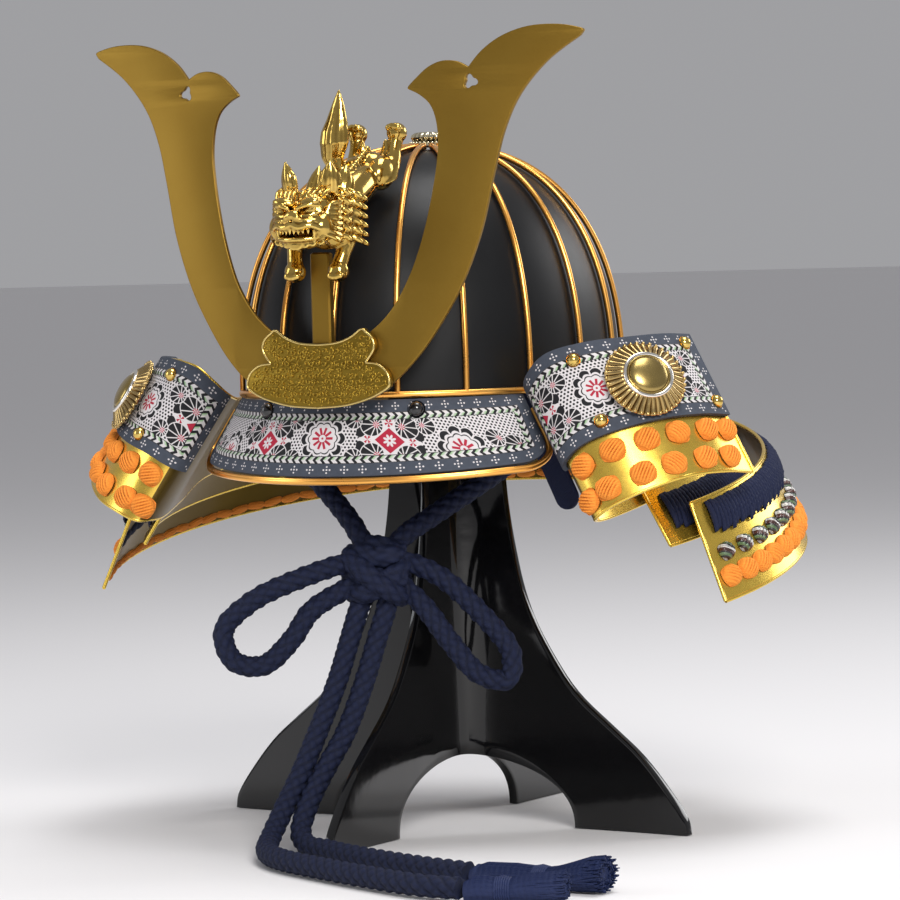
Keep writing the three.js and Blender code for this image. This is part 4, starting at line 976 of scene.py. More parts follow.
for k in range(plate["grains"]):  # grains between the curls
    x, z = draw.uniform(-46, 46), draw.uniform(250, 292)
    if insideOf(plateLine, x, z) and edgeDistance(plateLine, x, z) > 1.8:
        shape.ball(onPlate(x, z), draw.uniform(0.4, 0.75), around=8, up=5)
shape.make("base_plate_scrolls", [reliefGold, rimHighlightGold], [], "base_plate_gold", sharp=80)

strut = {"width": 12.0, "depth": 6.0, "frontY": -153, "footZ": 285.5, "topZ": 337, "bevel": 1.0}
shape = Shape()
half, deep, cut = strut["width"] / 2, strut["depth"], strut["bevel"]
rows = []
for z, shrink in ((strut["footZ"], cut), (strut["footZ"] + cut, 0), (strut["topZ"] - cut, 0),
                  (strut["topZ"], cut)):
    corners = []
    for x, y, turnX, turnY in ((half, 0, -1, 1), (half, deep, -1, -1), (-half, deep, 1, -1),
                               (-half, 0, 1, 1)):
        corners += [(x + turnX * shrink, y + turnY * (shrink + cut)),
                    (x + turnX * (shrink + cut), y + turnY * shrink)]
    corners = sorted(corners, key=lambda p: math.atan2(p[1] - deep / 2, p[0]))
    rows.append([Vector((x, strut["frontY"] + y, z)) for x, y in corners])
shape.grid(rows, wrap=True, caps=True)
shape.make("crest_bar", satin.material, ["crest_strut"], "satin_gold", sharp=25)

print("lion crest")
# Leaping down over the brow, a little askew: head low and forward, hind legs kicked up behind.
lion = {"voxel": 0.66, "smooth": 2, "line": ((-190, 4.5), (-160, 3.0), (-128, 8.2), (-80, 7.8))}
# cast gold, with painted shade darkening the casting's hollows
lionGold = metal("cast_lion_gold", (0.78, 0.50, 0.10), (1.0, 0.74, 0.22), 0.13, scale=0.12, spread=0.03,
                 bump=0.01, hollowShade=(0.16, 0.07, 0.012))
bothSidesOf = [  # (centre, size, turn), on the wearer's left
    ((7.6, -184.5, 364.6), (7.2, 4.6, 2.9), (0, -8, -14)), ((13.5, -178, 351), (6, 9, 8), (0, 0, 0)),
    ((14, -158, 357), (8.5, 10, 13), (-10, 0, 0)), ((12, -157, 346), (9, 9, 7.6), (0, 0, 0)),
    ((8.5, -106, 381), (7.6, 11.5, 9.4), (30, 0, 0)), ((14, -151, 349), (7, 8, 8), (0, 0, 0)),
]
inTheMiddle = [
    ((0, -170, 358), (17, 14, 14), (0, 0, 0)), ((0, -183.5, 355), (15, 8, 5.6), (-8, 0, 0)),
    ((0, -180, 342.8), (12.5, 9.4, 3.8), (10, 0, 0)), ((0, -156, 357), (16, 13, 15), (0, 0, 0)),
    ((0, -152, 348), (11, 10, 9.6), (0, 0, 0)), ((0, -126, 371), (11.2, 31, 11), (26, 0, 0)),
    ((0, -104, 384), (12, 10, 9.5), (0, 0, 0)), ((0, -191, 357.6), (4.6, 3.4, 3.0), (0, 0, 0)),
]
legs = [  # (points, radii), on the wearer's left
    ([(14, -150, 350), (16, -156, 343), (15, -159, 335), (13.6, -161, 329)], (6.4, 5.4, 4.4, 4.6)),
    ([(9, -106, 380), (11.6, -99, 387), (12, -96, 395), (12.4, -93.5, 402)], (7.4, 5.6, 4.2, 4.4)),
]
shape = Shape()


def limb(shape, points, radii, sides=16):
    line = smoothLine(points, 1.2)
    total = lengthOf(line)
    rail = [Vector((radius, 0, 0)) for radius in radii]
    shape.tube(line, lambda along, a: railPoint(rail, min(along / total, 1)).x, sides)


def askew(p, side=1):
    # the lion's own middle is not quite the bowl's
    (y0, x0), (y1, x1) = next(pair for pair in zip(lion["line"], lion["line"][1:]) if p[1] <= pair[1][0])
    return (mix(x0, x1, (p[1] - y0) / (y1 - y0)) + p[0] * side, p[1], p[2])


def ribbed(shape, root, tip, wide, ribs, ahead, curve=0.0):
    # a leaf of long ribs between two points: ears, tufts and the flame of the tail
    root, tip = Vector(root), Vector(tip)
    up = (tip - root).normalized()
    ahead = (Vector(ahead) - up * up.dot(Vector(ahead))).normalized()
    side, long = ahead.cross(up), (tip - root).length
    for k in range(ribs):
        t = mix(-1, 1, k / (ribs - 1))
        reach = wide * t
        out = ahead * (0.42 * wide * (1 - t * t))
        limb(shape, [root + side * reach * 0.55 + out * 0.5,
                     root + up * long * 0.32 + side * (reach * 0.98 + curve * 0.5) + out,
                     root + up * long * 0.64 + side * (reach * 0.84 + curve) + out,
                     root + up * long * (0.97 - 0.24 * t * t) + side * (reach * 0.34 + curve * 0.6)
                     + out * 0.3],
             (wide * 0.16, wide * 0.235, wide * 0.22, wide * 0.10), 10)
    turn = [math.degrees(angle) for angle in Matrix((side, ahead, up)).transposed().to_euler()]
    shape.ball(root + up * long * 0.45 + side * curve * 0.5, (wide * 0.9, wide * 0.42, long * 0.42), turn,
               around=20, up=12)


for centre, size, turn in inTheMiddle:
    shape.ball(askew(centre), size, turn, around=28, up=16)
for side in (1, -1):
    flip = lambda p, side=side: askew(p, side)
    ridge = lambda points, radii, sides=16: limb(shape, [flip(p) for p in points], radii, sides)
    for centre, size, turn in bothSidesOf:
        shape.ball(flip(centre), size, (turn[0], turn[1] * side, turn[2] * side), around=24, up=14)
    for points, radii in legs:
        ridge(points, radii)
    # round paws
    for foot, size, drop in (((13.6, -161.5, 326.4), 6.1, -0.35), ((12.6, -93.5, 403.6), 5.9, 0.55)):
        shape.ball(flip(foot), (size, size, size), around=24, up=14)
        for k in range(4):
            angle = math.radians(-54 + 36 * k)
            shape.ball(flip((foot[0] + 3.6 * math.sin(angle), foot[1] - size * 0.72,
                             foot[2] + drop * 4 + 1.6 * math.cos(angle) * (1 if drop > 0 else -1))), 2.1,
                       around=14, up=9)
    ribbed(shape, flip((11.6, -167, 366)), flip((13.8, -169, 389)), 5.6, 6, (side * 0.5, -1, 0))
    ribbed(shape, flip((10.5, -152, 366)), flip((8.0, -143, 386)), 5.2, 6, (side * 0.6, -1, 0.2))
    ribbed(shape, flip((11, -99, 386)), flip((6.5, -97, 401)), 3.6, 5, (side * 0.2, -1, 0.1))
    # long ridges that flow from the mouth's corner back over the cheek and down the ruff
    for k in range(8):
        low = 341.5 + 3.1 * k
        ridge(((12.6 + 0.35 * k, -186.4 + 0.9 * k, 348.0 + 1.7 * k),
               (18.4 - 0.1 * k, -180 + 0.4 * k, 345.6 + 2.6 * k),
               (20.4, -171.5, low + 1.4), (20.0, -165.5, low + 3.6)), (0.6, 1.15, 1.25, 0.5), 8)
    for row, (y, reach) in enumerate(((-163, 21.6), (-154.5, 22.8), (-147, 21.0))):  # locks of the mane
        for k in range(6):
            z = 369 - 5.0 * k - 1.2 * row
            ridge(((reach - 4.6, y - 3.5, z + 4.4), (reach - 0.6, y - 2.2, z + 1.6),
                   (reach + 0.4, y + 1.6, z - 0.8), (reach - 1.6, y + 4.6, z - 0.2)),
                  (0.8, 1.55, 1.5, 0.5), 9)
    # brow ridges, eye and nostril
    for k in range(5):
        ridge(((2.4 + 2.9 * k, -186.4 + 0.8 * k, 366.4), (2.8 + 3.1 * k, -182 + 0.8 * k, 370.4),
               (3.4 + 3.1 * k, -176 + 0.6 * k, 372.2)), (0.6, 0.95, 0.5), 8)
    shape.ball(flip((9.4, -187.0, 360.4)), (3.6, 1.7, 1.5), (0, -10 * side, 0), around=16, up=10)
    shape.ball(flip((2.9, -192.6, 356.6)), (2.2, 1.6, 1.5), around=12, up=8)
    ridge(((2.4, -191, 361.2), (8.6, -189.4, 363.2), (15.4, -184.4, 362.6)), (1.0, 1.4, 0.6), 8)
    ridge(((3.6, -190.6, 357.8), (9.4, -188.8, 357.6), (15.0, -184.8, 359.4)), (0.6, 0.9, 0.4), 8)
    # wavy upper lip with its teeth
    ridge(((0, -192.8, 352.8), (4.5, -192.6, 351.0), (9.6, -190.4, 352.0),
           (13.6, -186.6, 350.4), (16.2, -181.8, 348.4)), (1.6, 1.8, 1.7, 1.6, 1.2), 10)
    ridge(((1.5, -192.8, 354.8), (7.0, -191.4, 354.8), (12.6, -187.4, 354.2),
           (17.0, -181.0, 352.6)), (0.7, 1.1, 1.1, 0.5), 8)
    for k in range(6):
        x = 1.2 + 2.5 * k
        y = -192.4 + 0.042 * x * x
        long = 4.4 if k == 4 else 2.7
        ridge(((x, y, 350.4), (x, y, 349.4 - long * 0.4), (x + 0.2, y, 349.2 - long)), (1.1, 0.85, 0.2), 8)
    # lower lip with beard curls under it
    ridge(((0, -190.4, 344.4), (6, -189.0, 344.4), (11.4, -185.0, 345.2),
           (15.4, -179.6, 347.2)), (1.4, 1.4, 1.3, 1.0), 10)
    for k in range(4):
        x = 1.8 + 3.9 * k
        curl = [(x + 2.0 * (1 - t) * math.cos(4 + 8 * t), -188.0 + 0.03 * x * x,
                 340.6 + 0.22 * x + 2.0 * (1 - t) * math.sin(4 + 8 * t)) for t in steps(7)]
        ridge(curl, (1.05, 0.95, 0.85, 0.6), 8)
    # folds where the haunch meets the thigh
    for k in range(4):
        ridge(((13.4, -112 + 1.5 * k, 374.5 + 1.2 * k), (16.4, -106 + k, 377.5 + 1.8 * k),
               (15.6, -99.5 + 0.6 * k, 381.5 + 2.2 * k)), (0.7, 1.3, 0.5), 8)
for k in range(12):  # ribbed tuft along the spine, under the tail
    t = k / 11
    shape.ball(askew((0, mix(-146, -106, t), mix(372, 394.5, t))), (1.9, 2.4, 2.2), (28, 0, 0),
               around=12, up=8)
tailRows = [(378, -6, 4), (390, -10.2, 6.7), (398.7, -8.9, 8.8), (405, -8.3, 8.4), (412, -6.8, 6.3),
            (421, -5.7, 3.6), (428.6, -5, 0.6)]
tailLine = smoothLine([(x, -114, z) for z, x, r in tailRows], 0.6)
shape.grid([[Vector((readRow(tailRows, p.z, 1), -114, p.z)) + Vector((math.cos(a), 0.62 * math.sin(a), 0))
             * readRow(tailRows, p.z, 2) * (0.93 + 0.09 * abs(math.cos(7 * a + 0.03 * (p.z - 390))))
             for a in ring(112)] for p in tailLine], wrap=True, caps=True)
lionRaw = shape.make("lion_casting", lionGold, ["lion_crest"], "cast_gold", merge=0.0)
reshaped(lionRaw, [("REMESH", {"mode": "VOXEL", "voxel_size": lion["voxel"] * 0.001}),
                   ("SMOOTH", {"factor": 0.5, "iterations": lion["smooth"]})])
lionRaw.data.materials.clear()
lionRaw.data.materials.append(lionGold)

print("neck guard and turn-backs")
# inside: the gold darkened as painted shade
goldLeaf = {"dark": (0.70, 0.44, 0.045), "light": (0.90, 0.64, 0.11), "inside": (0.13, 0.078, 0.010)}


def goldLacquer(name, dark, light, roughness):
    shader = Shader(name, metallic=0.9, coat_weight=0.3, coat_roughness=0.15)
    cloud, grain = shader.noise(0.018, 5), shader.noise(0.3, 5, rough=0.6)
    shader.set("Base Color", shader.mix(cloud * 0.8 + grain * 0.2, dark, light))
    shader.set("Roughness", grain * 0.10 + (roughness - 0.04))
    shader.bump(shader.noise(0.05, 3), 0.2)
    return shader.material


lameGold = goldLacquer("gold_lacquer", goldLeaf["dark"], goldLeaf["light"], 0.26)
# a darker copy of the lame gold for the inner faces: painted shade, as they face away from the light
shadedInsideGold = goldLacquer("shaded_gold_inside", (0.10, 0.062, 0.008), (0.18, 0.115, 0.018), 0.5)
lameWall = 1.6
topRail = [
    (169, -32, 284), (162.5, -54, 285), (150, -76, 284), (132, -92, 282), (113, -98, 276.5),
    (101, -95.5, 265), (98, -88, 257), (101, -71, 252.8), (107.5, -48, 252.5), (111, -14, 252.5),
    (106.6, 37.7, 252.5), (81.6, 80.5, 252.5), (43.7, 107.4, 252.5), (0, 115.5, 252.5)]
lowRail = [
    (211, -38, 208.2), (205.5, -62, 210), (194, -85.5, 209), (177, -103, 202.8), (159, -112, 194.5),
    (147, -111.5, 187), (142.5, -103, 184), (144, -85, 185), (152, -50, 192), (162, 0, 204), (150, 51, 214),
    (115, 94, 223), (62, 123, 229), (0, 133, 231)]
topRight = [  # the panel on the wearer's right is bent a little lower
    (163.2, -27, 275.3), (157, -50.6, 276.5), (146, -73.6, 276.5), (129, -90.6, 276.5), (112, -97.4, 272.5),
    (101, -95.5, 263)]
lowRight = [
    (207.5, -36.5, 214), (203, -60, 212), (193, -84, 206), (177, -103, 197), (159, -112, 189.5),
    (147, -111.5, 184.5)]
bend, rear = 5.5, len(topRail) - 1


def fullRail(left, right):
    return [Vector(p) for p in left] + [Vector((-x, y, z)) for x, y, z in reversed([*right, *left[6:13]])]


topLine, lowLine = fullRail(topRail, topRight), fullRail(lowRail, lowRight)


def collar(u, v):
    return railPoint(lowLine, u).lerp(railPoint(topLine, u), v)


def panel(u, v):
    return collar((1 - u) * (bend - 0.1) / (2 * rear), v)


def panelRight(u, v):
    # worked out as if it were on the left; its pieces are mirrored when they are made
    point = collar(1 - (1 - u) * (bend - 0.1) / (2 * rear), v)
    return Vector((-point.x, point.y, point.z))


def edgeWire(shape, surface, us, v, radius, lift, slot=0):
    # the thin rolled edge of a lame
    line = []
    for u in us:
        normal = normalOf(surface, u, v)[0]
        line.append(surface(u, v) + normal * lift)
    shape.tube(line, radius, 8, slot=slot)


bendShare = bend / (2 * rear)
bendStart, bendStop = bendShare - 0.03, bendShare + 0.04
collarUs = sorted({round(u, 5) for u in [*steps(60, 0, bendStart), *steps(30, bendStart, bendStop),
                                         *steps(70, bendStop, 0.5)]})
collarUs += [1 - u for u in reversed(collarUs[:-1])]
collarVs = steps(12)
shape, _ = sheet(collar, collarUs, collarVs, lameWall, slots=(0, 1, 0))
# past the bends the sheet's inner side is the panel's face; elsewhere it takes the darker gold, painted shade
innerFaces = (len(collarUs) - 1) * (len(collarVs) - 1)
for k in range(innerFaces, 2 * innerFaces):
    u = collarUs[(k - innerFaces) // 12]
    shape.slots[k] = 0 if min(u, 1 - u) < bendShare - 0.012 else 1
edgeWire(shape, collar, collarUs, 0.0, 1.05, lameWall / 2)
edgeWire(shape, collar, collarUs, 1.0, 1.05, lameWall / 2)
for end in (0.0, 1.0):
    shape.tube([collar(end, v) for v in steps(20)], 1.05, 8)
shape.make("neck_lame_top_plate", [lameGold, shadedInsideGold], ["neck_lame_top"], "lame_gold", sharp=50)

turnback = {"wall": 2.6, "share": 0.6, "lift": 0.6, "bendEnd": -0.1296, "studRadius": 4.1,
            "knots": {"upper": (0.3, (0.17, 0.36, 0.52, 0.66, 0.81, 0.94)),
                      "lower": (0.1, (0.09, 0.26, 0.44, 0.58, 0.73, 0.87))},
            "studs": {"outer_upper": (0.92, 0.925), "outer_lower": (0.94, 0.49), "inner_upper": (0.375, 0.9),
                      "inner_lower": (0.37, 0.485)}}
knot = {"length": 15.0, "height": 13.5, "bulge": 5.4, "strand": 1.75}
# their dark colours are laid in the hollows between strands as painted shade
orangeSilk = silk("orange_silk", (0.42, 0.085, 0.006), (0.96, 0.33, 0.045), roughness=0.8, thread=1.0)
navySilk = silk("navy_silk", (0.0008, 0.0012, 0.004), (0.007, 0.012, 0.046), roughness=0.75, thread=1.0)


def braidedPad(shape, centre, normal, side, up, size, slot=0, count=30, lean=1, strand=None):
    # a tied knot of braid: a round crown of ropes that run slantwise, each twisted from finer strands
    length, height, bulge = size
    strand = strand or knot["strand"]
    rows = []
    for a in steps(count, -1, 1):
        row = []
        for b in steps(count, -1, 1):
            x, y = a * math.sqrt(1 - b * b * 0.38) * length / 2, b * math.sqrt(1 - a * a * 0.38) * height / 2
            out = min((a * a) ** 1.3 + (b * b) ** 1.3, 1.0) if max(abs(a), abs(b)) < 1 else 1.0
            crown = math.sqrt(max(0.0, 1 - out))
            along, across = x * 0.72 + y * 0.69 * lean, (y * 0.72 - x * 0.69 * lean) / strand
            rope = abs(math.cos(math.pi * across)) ** 0.7
            twist = 0.5 + 0.5 * math.sin(along * 3.4 + across * 2.6)
            rise = bulge * crown * (0.68 + 0.29 * rope + 0.05 * twist)
            row.append(centre + side * x + up * y + normal * rise)
        rows.append(row)
    shape.grid(rows, coords=lambda i, j: (i * length / count, j * height / count), slot=slot)


def padRow(shape, surface, shares, v, lift, size, slot=0, count=24, strand=None, way=1):
    for k, u in enumerate(shares):
        normal, side, up = normalOf(surface, u, v)
        if way < 0:
            normal, side = -normal, -side
        tilt = math.radians((9, -7, 4, -10, 6)[k % 5])
        side, up = side * math.cos(tilt) + up * math.sin(tilt), up * math.cos(tilt) - side * math.sin(tilt)
        braidedPad(shape, surface(u, v) + normal * lift, normal, side, up, size, slot, count,
                   1 if k % 3 else -1, strand)


def leatherOn(surface):
    return lambda u, v: surface(mix(turnback["bendEnd"], 1, u), mix(1 - turnback["share"], 1, v))


leatherUs = [*steps(44, 0, 0.22), *steps(50, 0.232, 1)]
leatherHeight = (leatherOn(panel)(0.5, 1) - leatherOn(panel)(0.5, 0)).length
backPrint = dict(leatherPrint, border=7.4, centre=leatherHeight * 0.485, start=-15.5, drift=0.0, rose=1.0,
                 period=78)
medallion = {"u": 0.61, "v": 0.672, "halfWidth": 24.5, "halfHeight": 23.0, "petals": 38, "lift": 1.2,
             # each ring's share of the width, height, radius, sides and slot
             "rings": ((0.565, 6.7, 1.15, 12, 1), (0.495, 7.0, 0.6, 8, 2)),
             "dome": (0.475, 6.6, 3.9)}
# fluted gold, with painted shade darkening the valleys between the flutes
flutedGold = metal("fluted_gold", (0.42, 0.28, 0.09), (0.70, 0.52, 0.24), 0.22, scale=0.3,
                   hollowShade=(0.2, 0.12, 0.04))
silverRing = metal("silver_ring", (0.80, 0.76, 0.68), (0.95, 0.93, 0.88), 0.14, scale=0.3)
studGold = metal("stud_gold", (0.62, 0.42, 0.09), (0.88, 0.64, 0.2), 0.15, scale=0.3)
ovalGold = metal("oval_gold", (0.33, 0.235, 0.075), (0.5, 0.37, 0.14), 0.26, scale=0.1)
leatherLook = None


def madeOn(label, shape, *wanted, **settings):
    # pieces of the wearer's right turn-back are mirrored into place
    if label == "right":
        shape.points = [Vector((-p.x, p.y, p.z)) for p in shape.points]
    return shape.make(*wanted, **settings)


for label, surface in (("left", panel), ("right", panelRight)):
    shape, backLength = sheet(leatherOn(surface), leatherUs, steps(14), turnback["wall"], turnback["lift"],
                              height=leatherHeight)
    leatherLook = leatherLook or printedLeather("turnback_printed_leather", backLength / 2, leatherHeight,
                                                backPrint)
    madeOn(label, shape, f"turnback_leather_print_{label}", leatherLook, [f"turnback_leather_{label}"],
           "printed_leather")

    def frameAt(u, v, rise):
        normal, side, up = normalOf(surface, u, v)
        return surface(u, v) + normal * rise, normal, side

    top = turnback["lift"] + turnback["wall"]
    for row, (v, shares) in turnback["knots"].items():
        shape = Shape()
        padRow(shape, surface, shares, v, 0.3, (knot["length"], knot["height"], knot["bulge"]), count=34)
        madeOn(label, shape, f"turnback_braid_{row}_{label}", orangeSilk, [f"turnback_knots_{row}_{label}"],
               "orange_braid", sharp=80)

    seat, normal, side = frameAt(medallion["u"], medallion["v"], top + 0.35 + medallion["lift"])
    up = normal.cross(side)
    oval = lambda share, angle, z: (seat + side * (medallion["halfWidth"] * share * math.cos(angle))
                                    + up * (medallion["halfHeight"] * share * math.sin(angle)) + normal * z)
    shape, rows, petals = Shape(), [], medallion["petals"]
    for share, z, wave in ((0.05, 0, 0), (0.955, 0, 1), (0.985, 0.6, 1), (0.975, 1.3, 1), (0.94, 1.7, 1),
                           (0.86, 2.6, 1), (0.76, 4.0, 0.9), (0.66, 5.6, 0.7), (0.605, 6.4, 0.2),
                           (0.58, 6.2, 0)):
        rows.append([oval(share - wave * 0.03 * (1 - abs(math.cos(petals * a / 2)) ** 0.6), a,
                          z + wave * 0.9 * (abs(math.cos(petals * a / 2)) ** 0.8 - 0.4))
                     for a in ring(petals * 10)])
    shape.grid(rows, wrap=True, slot=0)
    for a in ring(petals):
        shape.ball(oval(0.955, a, 1.9), 1.05, around=8, up=5, slot=0)
    for share, z, radius, sides, slot in medallion["rings"]:
        shape.tube([oval(share, a, z) for a in ring(90)], radius, sides, closed=True, slot=slot)
    domeShare, domeZ, domeRise = medallion["dome"]
    dome = [[oval(domeShare * math.cos(t), a, domeZ + domeRise * math.sin(t) ** 0.9) for a in ring(60)]
            for t in steps(14, 0, math.pi / 2 - 0.04)]
    shape.grid(dome, wrap=True, caps=True, slot=2)
    shape.grid([[oval(share, a, 6.1) for a in ring(60)] for share in (0.47, 0.585)], wrap=True,
               slot=2)
    madeOn(label, shape, f"turnback_rosette_{label}", [flutedGold, silverRing, ovalGold],
           [f"turnback_medallion_{label}"], "cast_gold", sharp=50)
    for stud, (u, v) in turnback["studs"].items():
        centre, normal, side = frameAt(u, v, top + 0.15)
        shape = Shape()
        turnedOn(shape, centre, normal, domeProfile(turnback["studRadius"] - 0.3, 0.3, 1.0), 24)
        madeOn(label, shape, f"turnback_ball_{stud}_{label}", studGold, [f"turnback_stud_{stud}_{label}"],
               "cast_gold")

print("lower lames and lacing")
lames = {
    "neck_lame_middle": {"endAngle": 115, "top": (159, 134, 221, 0.22), "low": (187, 147, 181, 0.22)},
    "neck_lame_low": {"endAngle": 111, "top": (191, 149, 204, 0.25), "low": (215, 165, 151, 0.25),
                      "rightLift": 4.5},
}


def lameSurface(lame):
    def surface(u, v):
        angle = math.radians(mix(lame["endAngle"], -lame["endAngle"], u))
        a, b, z, tilt = [mix(low, top, v) for low, top in zip(lame["low"], lame["top"])]
        raised = lame.get("rightLift", 0) * ((1 - math.sin(angle)) / 2) ** 2
        return Vector((a * math.sin(angle), b * math.cos(angle), z + b * math.cos(angle) * tilt + raised))
    return surface


surfaces = {name: lameSurface(lame) for name, lame in lames.items()}
for name, surface in surfaces.items():
    # the inner faces take the darker gold, painted shade
    shape, _ = sheet(surface, steps(150), steps(10), lameWall, slots=(0, 1, 0))
    for v in (0.0, 1.0):
        edgeWire(shape, surface, steps(150), v, 1.15, lameWall / 2)
    for end in (0.0, 1.0):
        shape.tube([surface(end, v) + normalOf(surface, end, v)[0] * lameWall / 2 for v in steps(16)],
                   1.15, 8)
    shape.make(f"{name}_plate", [lameGold, shadedInsideGold], [name], "lame_gold", sharp=50)

lacing = {"cord": 3.0, "half": 1.56, "gap": 0.3, "rise": 4.4, "rows": 13, "bands": {
    "lacing_middle": ("neck_lame_middle", 0.16, 0.62), "lacing_low": ("neck_lame_low", 0.64, 0.96)}}
for name, (lame, low, high) in lacing["bands"].items():
    surface, shape = surfaces[lame], Shape()
    first, last = 0.013, 0.987
    span = lengthOf([surface(u, (low + high) / 2) for u in steps(80, first, last)])
    count = round(span / lacing["cord"])
    for k in range(count):
        u = mix(first, last, (k + 0.5) / count)
        droop = 0.022 * math.sin(2.1 * k) + 0.012 * math.sin(0.9 * k + 1)
        rows = []
        for i, v in enumerate(steps(lacing["rows"], low + droop, high + 0.3 * droop)):
            normal, side, up = normalOf(surface, u, v)
            ends = math.sin(math.pi * (i + 0.35) / (lacing["rows"] + 0.7)) ** 0.45
            row = []
            for a in steps(8, 0, math.pi):
                herring = 1 + 0.07 * math.sin(2.6 * i + (2.0 if a > math.pi / 2 else -2.0) * math.sin(a * 2))
                out = lameWall + lacing["gap"] + ends * lacing["rise"] * (0.45 + 0.55 * math.sin(a)) * herring
                row.append(surface(u, v) + normal * out + side * (lacing["half"] * math.cos(a)))
            rows.append(row)
        shape.grid(rows, coords=lambda i, j: (j * 0.9, i * 1.2))
        for i in (0, lacing["rows"]):  # close each wrap down to the plate
            base = [surface(u, mix(low + droop, high + 0.3 * droop, i / lacing["rows"]))
                    + side * (lacing["half"] * math.cos(a))
                    + normal * (lameWall + lacing["gap"]) for a in steps(8, 0, math.pi)]
            shape.grid([rows[i], base], coords=lambda i, j: (j * 0.9, i * 1.2))
    shape.make(f"{name}_cords", navySilk, [name], "navy_lacing", sharp=80)

mixedLook = Shader("many_coloured_silk", coat_weight=0.5, coat_roughness=0.12)
x, y = mixedLook.print()
band = ((x * 0.8 + y * 0.7) / 7.6).math("FRACT")
black = (0.012, 0.012, 0.012)
hue = mixedLook.ramp(band, [(0.0, (0.70, 0.69, 0.66)), (0.27, black), (0.42, (0.14, 0.24, 0.11)),
                            (0.62, black), (0.74, (0.085, 0.025, 0.018))])
hue.socket.node.color_ramp.interpolation = "CONSTANT"
# painted shade: the braid's hollows are darkened almost to black
mixedLook.set("Base Color", mixedLook.mix(mixedLook.crease(0.42, 0.55) * 0.8 + 0.2,
                                          (0.006, 0.006, 0.006), hue))
mixedLook.set("Roughness", mixedLook.noise(1.0) * 0.15 + 0.22)
mixedLook.bump((x * 0.8 + y * 0.7).wave(0.55), 0.2)

onLow = surfaces["neck_lame_low"]
shape = Shape()
padRow(shape, onLow, steps(37, 0.018, 0.934), 0.445, lameWall + 0.3, (11.0, 10.6, 4.8), count=20, strand=2.3)
shape.make("stitch_row_silk", mixedLook.material, ["stitch_row"], "mixed_braid", sharp=80)
shape = Shape()
padRow(shape, onLow, steps(44, 0.014, 0.94), 0.21, lameWall + 0.3, (14.0, 12.6, 5.0), count=24)
shape.make("knot_row_low_silk", orangeSilk, ["knot_row_low"], "orange_braid", sharp=80)

# the backs of the stitches, in twisted rows against the inside
shape = Shape()
for v, size, slot in ((0.07, (12.6, 5.2, 1.9), 0), (0.45, (13.5, 7.0, 2.0), 1)):
    padRow(shape, onLow, steps(60 if slot == 0 else 52, 0.02, 0.98), v, 0.1, size, slot, 12, way=-1)
shape.make("inner_stitches", [orangeSilk, navySilk], [], "orange_braid", sharp=80)

print("hanging tab")
tab = {"width": 14.5, "wall": 3.0, "x": 76.7, "y": -60, "topZ": 259.4, "length": 78, "lean": 24.7}
shape = Shape()
lean = Matrix.Rotation(-math.radians(tab["lean"]), 3, "Y")
rows = []
tip = tab["width"] / 2
straight = tab["length"] - tip
for down in [*steps(40, 0, straight),
             *[tab["length"] - tip * (1 - math.sin(a)) for a in steps(10, 0.15, math.pi / 2)]]:
    past = max(0, down - straight) / tip
    half = tip * math.sqrt(max(0.0, 1 - past * past)) + 0.02
    row = []
    for a in ring(28):
        x = half * math.copysign(abs(math.cos(a)) ** 0.7, math.cos(a))
        quilted = 0.96 + 0.04 * math.sin(down * 2.2)
        y = tab["wall"] / 2 * math.copysign(abs(math.sin(a)) ** 0.5, math.sin(a)) * quilted
        row.append(Vector((tab["x"], tab["y"] - tab["wall"] / 2, tab["topZ"])) + lean @ Vector((x, y, -down)))
    rows.append(row)
shape.grid(rows, wrap=True, caps=True, coords=lambda i, j: (j * 1.0, i * 1.8))
shape.make("hanging_cloth_tab", navySilk, ["lining_tab"], "navy_lacing", sharp=60)

print("stand")
stand = {"wall": 5.0, "topZ": 262, "archHalf": 84, "archHigh": 41, "bevel": 0.7}
blackGloss = lacquer("black_gloss_lacquer", (0.003, 0.003, 0.0034), 0.09, coat=0.3, ripple=0.05,
                     spread=0.03, specular=0.32)
boardPlan = [(-163, 0, -163), (-110, 2, -110), (-62, 4, -62), (-34, 5, -34), (-14, 7.5, -16.5),
             (14, 19, -6.5), (36, 37, -5), (70, 70, -9), (115, 115, -17), (163, 163, -28)]
boardWidth = [(0, 162), (9, 160), (25, 148), (44, 130), (58, 112), (76, 89), (92, 75), (121, 57), (151, 47),
              (200, 39), (262, 38)]


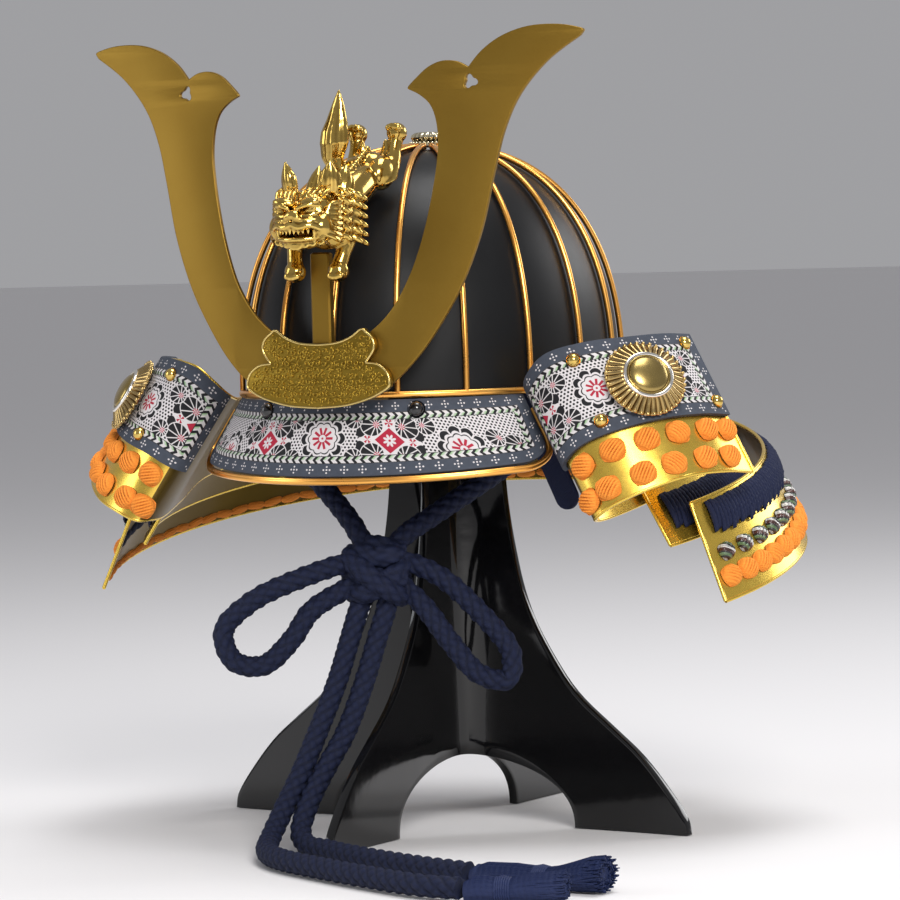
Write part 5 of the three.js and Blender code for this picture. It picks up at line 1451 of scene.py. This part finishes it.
def readTable(table, column, at):
    last = len(table) - 1
    i = max([k for k in range(last) if table[k][0] <= at] or [0])
    slope = lambda k: ((table[min(k + 1, last)][column] - table[max(k - 1, 0)][column])
                       / (table[min(k + 1, last)][0] - table[max(k - 1, 0)][0]))
    span = table[i + 1][0] - table[i][0]
    return hermite(table[i][column], table[i + 1][column], slope(i) * span, slope(i + 1) * span,
                   (at - table[i][0]) / span)


def boardSurface(u, v):
    side = -1 if u < 0.5 else 1
    fromFoot = min(u, 1 - u) / 0.4
    z = stand["topZ"] * fromFoot ** 1.5 if fromFoot < 1 else stand["topZ"]
    w = readTable(boardWidth, 1, z)
    outer = side * w if fromFoot < 1 else mix(-w, w, (u - 0.4) / 0.2)
    archC = -stand["archHalf"] * math.cos(math.pi * u)
    archZ = stand["archHigh"] * max(math.sin(math.pi * u), 0) ** 0.85
    c = mix(archC, outer, v)
    return Vector((readTable(boardPlan, 1, c), readTable(boardPlan, 2, c), mix(archZ, z, v)))


for label, turn in (("front", 1), ("rear", -1)):
    surface = boardSurface if turn > 0 else (lambda u, v: Vector((-1, -1, 1)) * boardSurface(u, v))
    boardUs = [*steps(60, 0, 0.4), *steps(12, 0.41, 0.59), *steps(60, 0.6, 1)]
    shape, _ = sheet(surface, boardUs, steps(24), stand["wall"], -stand["wall"] / 2)
    board = shape.make(f"stand_board_{label}_lacquered", blackGloss, [f"stand_board_{label}"],
                       "stand_lacquer")
    reshaped(board, [("BEVEL", {"width": stand["bevel"] * 0.001, "segments": 2, "limit_method": "ANGLE",
                                "angle_limit": math.radians(50)})])
    board.data.set_sharp_from_angle(angle=math.radians(40))

post = {"radius": 9, "footZ": 120, "padZ": 366, "padRadius": 32, "padTop": 391.5}
shape = Shape()
turnedOn(shape, Vector((0, 0, 0)), Vector((0, 0, 1)), [
    (0.5, post["footZ"]), (post["radius"] - 1, post["footZ"]), (post["radius"], post["footZ"] + 1),
    (post["radius"], post["padZ"] - 20), (12, post["padZ"] - 16), (22, post["padZ"] - 8),
    (post["padRadius"], post["padZ"]), (post["padRadius"], post["padTop"] - 8), (28, post["padTop"] - 4.4),
    (15, post["padTop"] - 1), (0.5, post["padTop"])], 48)
shape.make("stand_post_turned", blackGloss, ["stand_post"], "stand_lacquer")

print("done")
